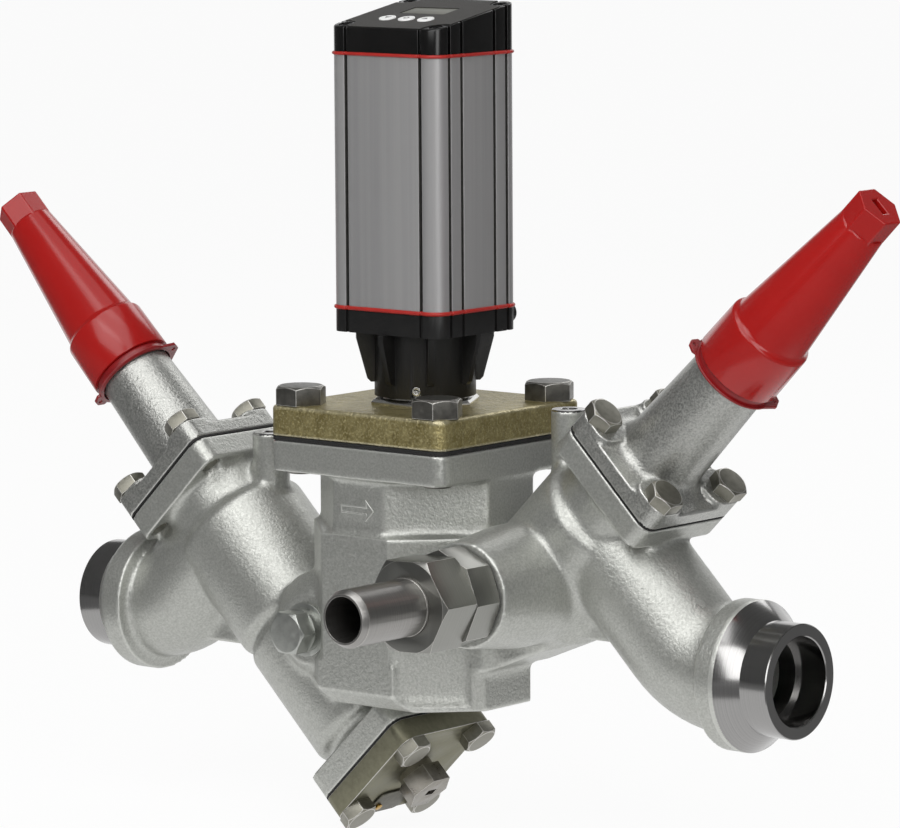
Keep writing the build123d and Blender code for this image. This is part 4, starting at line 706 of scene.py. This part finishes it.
work = bmesh.new()
lid_outlines = []
for inset, drop in ((0, None), (0, 0.5), (0.13, 0.17), (0.45, 0)):
    ring = []
    for x, y in grooved(inset, 1.5, 1.6):
        height = LID_LOW if drop is None else lid_middle.z + slope * y - drop
        ring.append(work.verts.new(upright(x, y, height) * MM))
    lid_outlines.append(ring)
cavity = grooved(LID_WALL, 1.5, 0.01, 0.001)
inner = [[work.verts.new(upright(x, y, LID_LOW) * MM) for x, y in cavity],
         [work.verts.new(upright(x, y, lid_middle.z + slope * y - LID_WALL) * MM) for x, y in cavity]]
pockets = [circle(sx * SCREW_X, sy * SCREW_Y, POCKET, 32) for sx in (-1, 1) for sy in (-1, 1)]
top_holes = [[work.verts.new(on_panel(x, y) * MM) for x, y in ring]
             for ring in pockets + [WINDOW] + button_holes]
low_holes = [[work.verts.new(on_panel(x, y, -LID_WALL * off_panel.z) * MM) for x, y in ring]
             for ring in button_holes]
floors = [[work.verts.new(v.co - off_panel * depth * MM) for v in ring]
          for ring, depth in zip(top_holes[:5], [POCKET_DEPTH] * 4 + [WINDOW_DEPTH])]
walls = list(zip(lid_outlines, lid_outlines[1:])) + [(inner[1], inner[0]), (inner[0], lid_outlines[0])]
walls += list(zip(top_holes[:5], floors)) + list(zip(top_holes[5:], low_holes))
for pair in walls:
    banded(work, pair)
for ring in floors:
    work.faces.new(ring)
for rings in ([lid_outlines[-1]] + top_holes, [inner[1]] + low_holes):
    rims = []
    for ring in rings:
        for k in range(len(ring)):
            pair = (ring[k], ring[(k + 1) % len(ring)])
            rims.append(work.edges.get(pair) or work.edges.new(pair))
    bmesh.ops.triangle_fill(work, edges=rims, use_beauty=True, use_dissolve=False, normal=off_panel)
lid = place_object("actuator_lid_moulded", made_mesh(work, "lid", 40), [black_gloss])
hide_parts("actuator_lid")

# Control panel: a thin printed film, glued on the lid's sloping top and cut round the corner screws,
# the window and the buttons.
film, tree, shader, place = finish("printed_polyester_film", Roughness=0.5, IOR=1.5)
fine = grain(tree, place, 0.3 * MM, 1)
tint(tree, shader, spread(tree, grain(tree, place, 20 * MM), 0, 1), "#2B2926", "#312F2C")
tree.links.new(spread(tree, fine, 0.4, 0.52), shader.inputs["Roughness"])
relief(tree, shader, (fine, 0.01 * MM))
SCALLOP = 3.9
EDGE_X = 26.6
EDGE_Y = SHELL_Y / up_slope.y - 1.0
FILM_STEP = 0.6
FILM_LOW = 0.02
FILM_HIGH = 0.22
quarter_steps = [math.radians(t) for t in range(0, 91, 10)]
corner_runs = []
for sx, sy in ((1, -1), (1, 1), (-1, 1), (-1, -1)):
    # the film steps in before each screw and follows a quarter round it
    quarter = [(sx * (SCREW_X - math.sin(t) * SCALLOP), sy * (SCREW_Y - math.cos(t) * SCALLOP))
               for t in quarter_steps]
    near_x = sx * (SCREW_X - SCALLOP - FILM_STEP)
    near_y = sy * (SCREW_Y - SCALLOP - FILM_STEP)
    corner_runs.append([(sx * EDGE_X, near_y), (sx * (SCREW_X + 0.8), near_y), *quarter,
                        (near_x, sy * (SCREW_Y + 0.8)), (near_x, sy * EDGE_Y)])
film_outline = corner_runs[1] + corner_runs[2][::-1] + corner_runs[3] + corner_runs[0][::-1]
panel = place_object("control_panel_film", slab(
    on_panel, film_outline, FILM_LOW, FILM_HIGH, [WINDOW] + button_holes), [film])

# Display window and push buttons: a grey acrylic pane in its recess, and three white moulded keys
# with plain grey printed marks.
pane, tree, shader, place = finish("grey_acrylic_window", Roughness=0.35, IOR=1.49)
tint(tree, shader, spread(tree, grain(tree, place, 15 * MM), 0, 1), "#6A6A63", "#73736B")
white_key, tree, shader, place = finish("white_moulded_key", Roughness=0.35, IOR=1.5)
tint(tree, shader, spread(tree, grain(tree, place, 2 * MM), 0, 1), "#E9E9E7", "#F2F2F0")
relief(tree, shader, (grain(tree, place, 0.4 * MM), 0.01 * MM))
mark_grey, tree, shader, place = finish("grey_printed_mark", Roughness=0.5)
tint(tree, shader, spread(tree, grain(tree, place, 1 * MM), 0, 1), "#7B7B79", "#8A8A88")
eased("actuator_window", "actuator_window_pane", 0.15, [pane])
MARK_LOW = 0.68
MARK_HIGH = 0.76
MARK_FOOT = 0.9
MARK_TIP = 1.2
MARK_HALF = 1.5
RING_OUTER = 1.25
RING_INNER = 0.75
for k, shape in ((1, "down"), (2, "ring"), (3, "up")):
    eased(f"button_{k}", f"button_{k}_moulded", 0.3, [white_key], f"button_{k}", limit=30)
    x = BUTTON_PITCH * (k - 2)
    flip = 1 if shape == "up" else -1
    foot = BUTTON_Y - MARK_FOOT * flip
    outline = [(x - MARK_HALF, foot), (x + MARK_HALF, foot), (x, BUTTON_Y + MARK_TIP * flip)]
    holes = []
    if shape == "ring":
        outline = circle(x, BUTTON_Y, RING_OUTER, 24)
        holes = [circle(x, BUTTON_Y, RING_INNER, 24)]
    mark = place_object(f"button_{k}_mark", slab(
        on_panel, outline, MARK_LOW, MARK_HIGH, holes), [mark_grey], f"button_{k}")
screw_dark = steel_finish("black_oxide_screw", "#1D1C1C", "#2C2B2B", 0.35)
eased("lid_screws", "lid_screws_turned", 0.15, [screw_dark])

# Side port: an octagonal adapter on a dark washer, a hexagon union nut and a welding nipple, all
# turned from bar. The nipple is bare and satin; adapter and nut keep the sheen of the drawn bar.
turned_y = turned_finish("turned_steel_bar", "Y", "#8F8D8B", "#A8A6A3", 0.55, 0.34)
nut_steel = turned_finish("bright_drawn_hexagon_bar", "Y", "#8C8C88", "#979792", 0.7, 0.3)
eased("port_washer", "port_washer_turned", 0.15, [gasket_dark])
eased("port_adapter", "port_adapter_turned", 0.35, [nut_steel, small_bolt_edge])
eased("union_nut", "union_nut_turned", 0.35, [nut_steel, small_bolt_edge])
eased("welding_nipple", "welding_nipple_turned", 0.2, [turned_y, small_bolt_edge])

# Blind plug: a hexagon plug on a washer, screwed into the front of the casting. Both have a bright
# zinc plating.
zinc_bright = steel_finish("bright_zinc_plating", "#AAACA8", "#B8BAB5", 0.28)
eased("blind_plug", "blind_plug_turned", 0.25, [zinc_bright])
eased("blind_plug_washer", "blind_plug_washer_turned", 0.15, [zinc_bright])

# Cable inlets at the back of the actuator: two black nylon glands, screwed into its base, in the
# same moulded plastic as the base.
for k in (1, 2):
    eased(f"cable_inlet_{k}", f"cable_inlet_{k}_moulded", 0.2, [black_plastic])

# Inner pieces and gaskets that keep their own shape: spindles, cones, seats, basket and drive. Each
# gets the finish of its own slot.
inner_steel = steel_finish("machined_inner_steel", "#8B8987", "#A3A19E", 0.3)
ptfe, tree, shader, place = finish("white_ptfe_seal", Roughness=0.5, IOR=1.38)
tint(tree, shader, spread(tree, grain(tree, place, 2 * MM), 0, 1), "#DAD9D4", "#E6E5E0")
board, tree, shader, place = finish("green_circuit_board", Roughness=0.35, IOR=1.5)
tint(tree, shader, spread(tree, grain(tree, place, 3 * MM), 0, 1), "#1F4A2C", "#2A5C37")
inner_finish = {
    "machined_steel": inner_steel,
    "bolt_steel": large_bolt,
    "cover_steel": plate_steel,
    "gasket_black": gasket_dark,
    "ptfe_white": ptfe,
    "board_green": board,
    "black_plastic": black_plastic,
    "anodised": anodised,
    "cast_zinc": zinc_cast,
    "bonnet_zinc": zinc_grain,
    "cover_yellow": chromate,
    "zinc_plug": zinc_bright,
    "cap_red": cap_red,
    "gasket_red": silicone,
    "panel_grey": film,
    "button_white": white_key,
    "display_glass": pane,
    "brass_pin": brass,
}
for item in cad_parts.values():
    for holder in item.material_slots:
        holder.material = inner_finish[holder.material.name.split(".")[0]]

# Studio: the long lens that took the photograph, a white paper floor and a white room. Whatever
# sees the background sees it white, and the floor keeps a faint shadow of the station.
CAMERA_AT = Vector((1.50482, -1.60501, 0.35455))
FORWARD = Vector((-0.63115, 0.76520, -0.12694))
HEADING = math.radians(39.516)
ROLL = math.radians(-0.364)
FLOOR_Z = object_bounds()[0][2] - 0.0005
side_way = Vector((math.cos(HEADING), math.sin(HEADING), 0))
up_way = side_way.cross(FORWARD)
right = side_way * math.cos(ROLL) + up_way * math.sin(ROLL)
above = up_way * math.cos(ROLL) - side_way * math.sin(ROLL)
lens = bpy.data.cameras.new("camera")
lens.lens = 213.86
lens.sensor_width = 36
lens.clip_start = 0.1
lens.clip_end = 20
camera = bpy.data.objects.new("camera", lens)
camera.matrix_world = Matrix((
    (right.x, above.x, -FORWARD.x, CAMERA_AT.x),
    (right.y, above.y, -FORWARD.y, CAMERA_AT.y),
    (right.z, above.z, -FORWARD.z, CAMERA_AT.z),
    (0, 0, 0, 1)))
bpy.context.scene.collection.objects.link(camera)
bpy.context.scene.camera = camera


def ground(name, points, faces, material):
    """Mesh of the studio that isn't part of the object."""
    mesh = bpy.data.meshes.new(name)
    mesh.from_pydata(points, [], faces)
    mesh.materials.append(material)
    made = bpy.data.objects.new(name, mesh)
    bpy.context.scene.collection.objects.link(made)
    return made


def background_rays(tree):
    """One where a ray comes from the camera or by gloss or glass, so that all show the background."""
    rays = add(tree, "ShaderNodeLightPath").outputs
    share = add(tree, "ShaderNodeMath", {0: rays["Is Camera Ray"], 1: rays["Is Glossy Ray"]},
                operation="MAXIMUM").outputs[0]
    return add(tree, "ShaderNodeMath", {0: share, 1: rays["Is Transmission Ray"]},
               operation="MAXIMUM").outputs[0]


GLOW_SHARE = 0.94
paper, tree, shader, place = finish("white_paper_floor", Base_Color=linear("#ECECEA"), Roughness=0.95,
                                    Specular_IOR_Level=0.0)
glow = add(tree, "ShaderNodeEmission", {"Color": (1, 1, 1, 1), "Strength": 1.0})
share = add(tree, "ShaderNodeMath", {0: background_rays(tree), 1: GLOW_SHARE}, operation="MULTIPLY")
blend = add(tree, "ShaderNodeMixShader", {0: share.outputs[0], 1: shader.outputs[0], 2: glow.outputs[0]})
tree.links.new(blend.outputs[0], tree.nodes["Material Output"].inputs["Surface"])
REACH = 9.0
ground("floor", [(-REACH, -REACH, FLOOR_Z), (REACH, -REACH, FLOOR_Z), (REACH, REACH, FLOOR_Z),
                 (-REACH, REACH, FLOOR_Z)], [(0, 1, 2, 3)], paper)

# Grey flags: cloth screens that only reflections see. They give bare metal its darker bands, and keep
# black and red plastic deep in colour. The roof goes all round, and only the low side behind is open.
cloth = finish("grey_flag_cloth", Base_Color=linear("#8A8A8A"), Roughness=1.0, Specular_IOR_Level=0.0)[0]
AIM = Vector((0.17, 0, 0.07))


def flag(name, low, high, start, end):
    """Band round the object between two rings, each a radius and a height in metres."""
    steps = 48
    points = []
    for k in range(steps + 1):
        turn = math.radians(start + (end - start) * k / steps)
        for radius, height in (low, high):
            points.append((AIM.x + radius * math.sin(turn), -radius * math.cos(turn), height))
    faces = [(2 * k, 2 * k + 2, 2 * k + 3, 2 * k + 1) for k in range(steps)]
    made = ground(name, points, faces, cloth)
    made.visible_camera = False
    made.visible_diffuse = False
    made.visible_transmission = False
    made.visible_volume_scatter = False
    made.visible_shadow = False


flag("flag_table", (0.3, FLOOR_Z + 0.002), (2.6, FLOOR_Z + 0.002), -100, 175)
flag("flag_wall", (2.6, FLOOR_Z), (2.6, 1.1), -100, 175)
flag("flag_roof", (2.6, 1.1), (1.0, 2.7), -180, 180)

# Light: an even white room at a plain level, and soft boxes in front, above, to the right and behind.
world = bpy.data.worlds.new("studio")
bpy.context.scene.world = world
world.use_nodes = True
tree = world.node_tree
room = tree.nodes["Background"]
room.inputs["Color"].default_value = linear("#F4F5F6")
room.inputs["Strength"].default_value = 0.4
white = add(tree, "ShaderNodeBackground", {"Color": (1, 1, 1, 1), "Strength": 1.0})
choice = add(tree, "ShaderNodeMixShader", {0: background_rays(tree), 1: room.outputs[0],
                                           2: white.outputs[0]})
tree.links.new(choice.outputs[0], tree.nodes["World Output"].inputs["Surface"])


def lamp(name, toward, distance, width, height, power):
    """Soft box that faces the object from a direction; lengths in metres and power in watts."""
    light = bpy.data.lights.new(name, "AREA")
    light.shape = "RECTANGLE"
    light.size = width
    light.size_y = height
    light.energy = power
    made = bpy.data.objects.new(name, light)
    way = Vector(toward).normalized()
    made.matrix_world = (Matrix.Translation(AIM + way * distance)
                         @ way.to_track_quat("Z", "Y").to_matrix().to_4x4())
    bpy.context.scene.collection.objects.link(made)


lamp("soft_box_front", (0.1, -0.8, 0.55), 1.6, 1.2, 0.9, 8.0)
lamp("soft_box_top", (0.2, -0.4, 0.9), 1.5, 1.3, 1.1, 9.0)
lamp("soft_box_right", (0.78, -0.55, 0.32), 1.9, 0.65, 1.4, 9.5)
lamp("soft_box_back", (-0.2, 0.8, 0.6), 1.8, 0.9, 0.6, 4.5)

scene = bpy.context.scene
scene.view_settings.view_transform = "Standard"
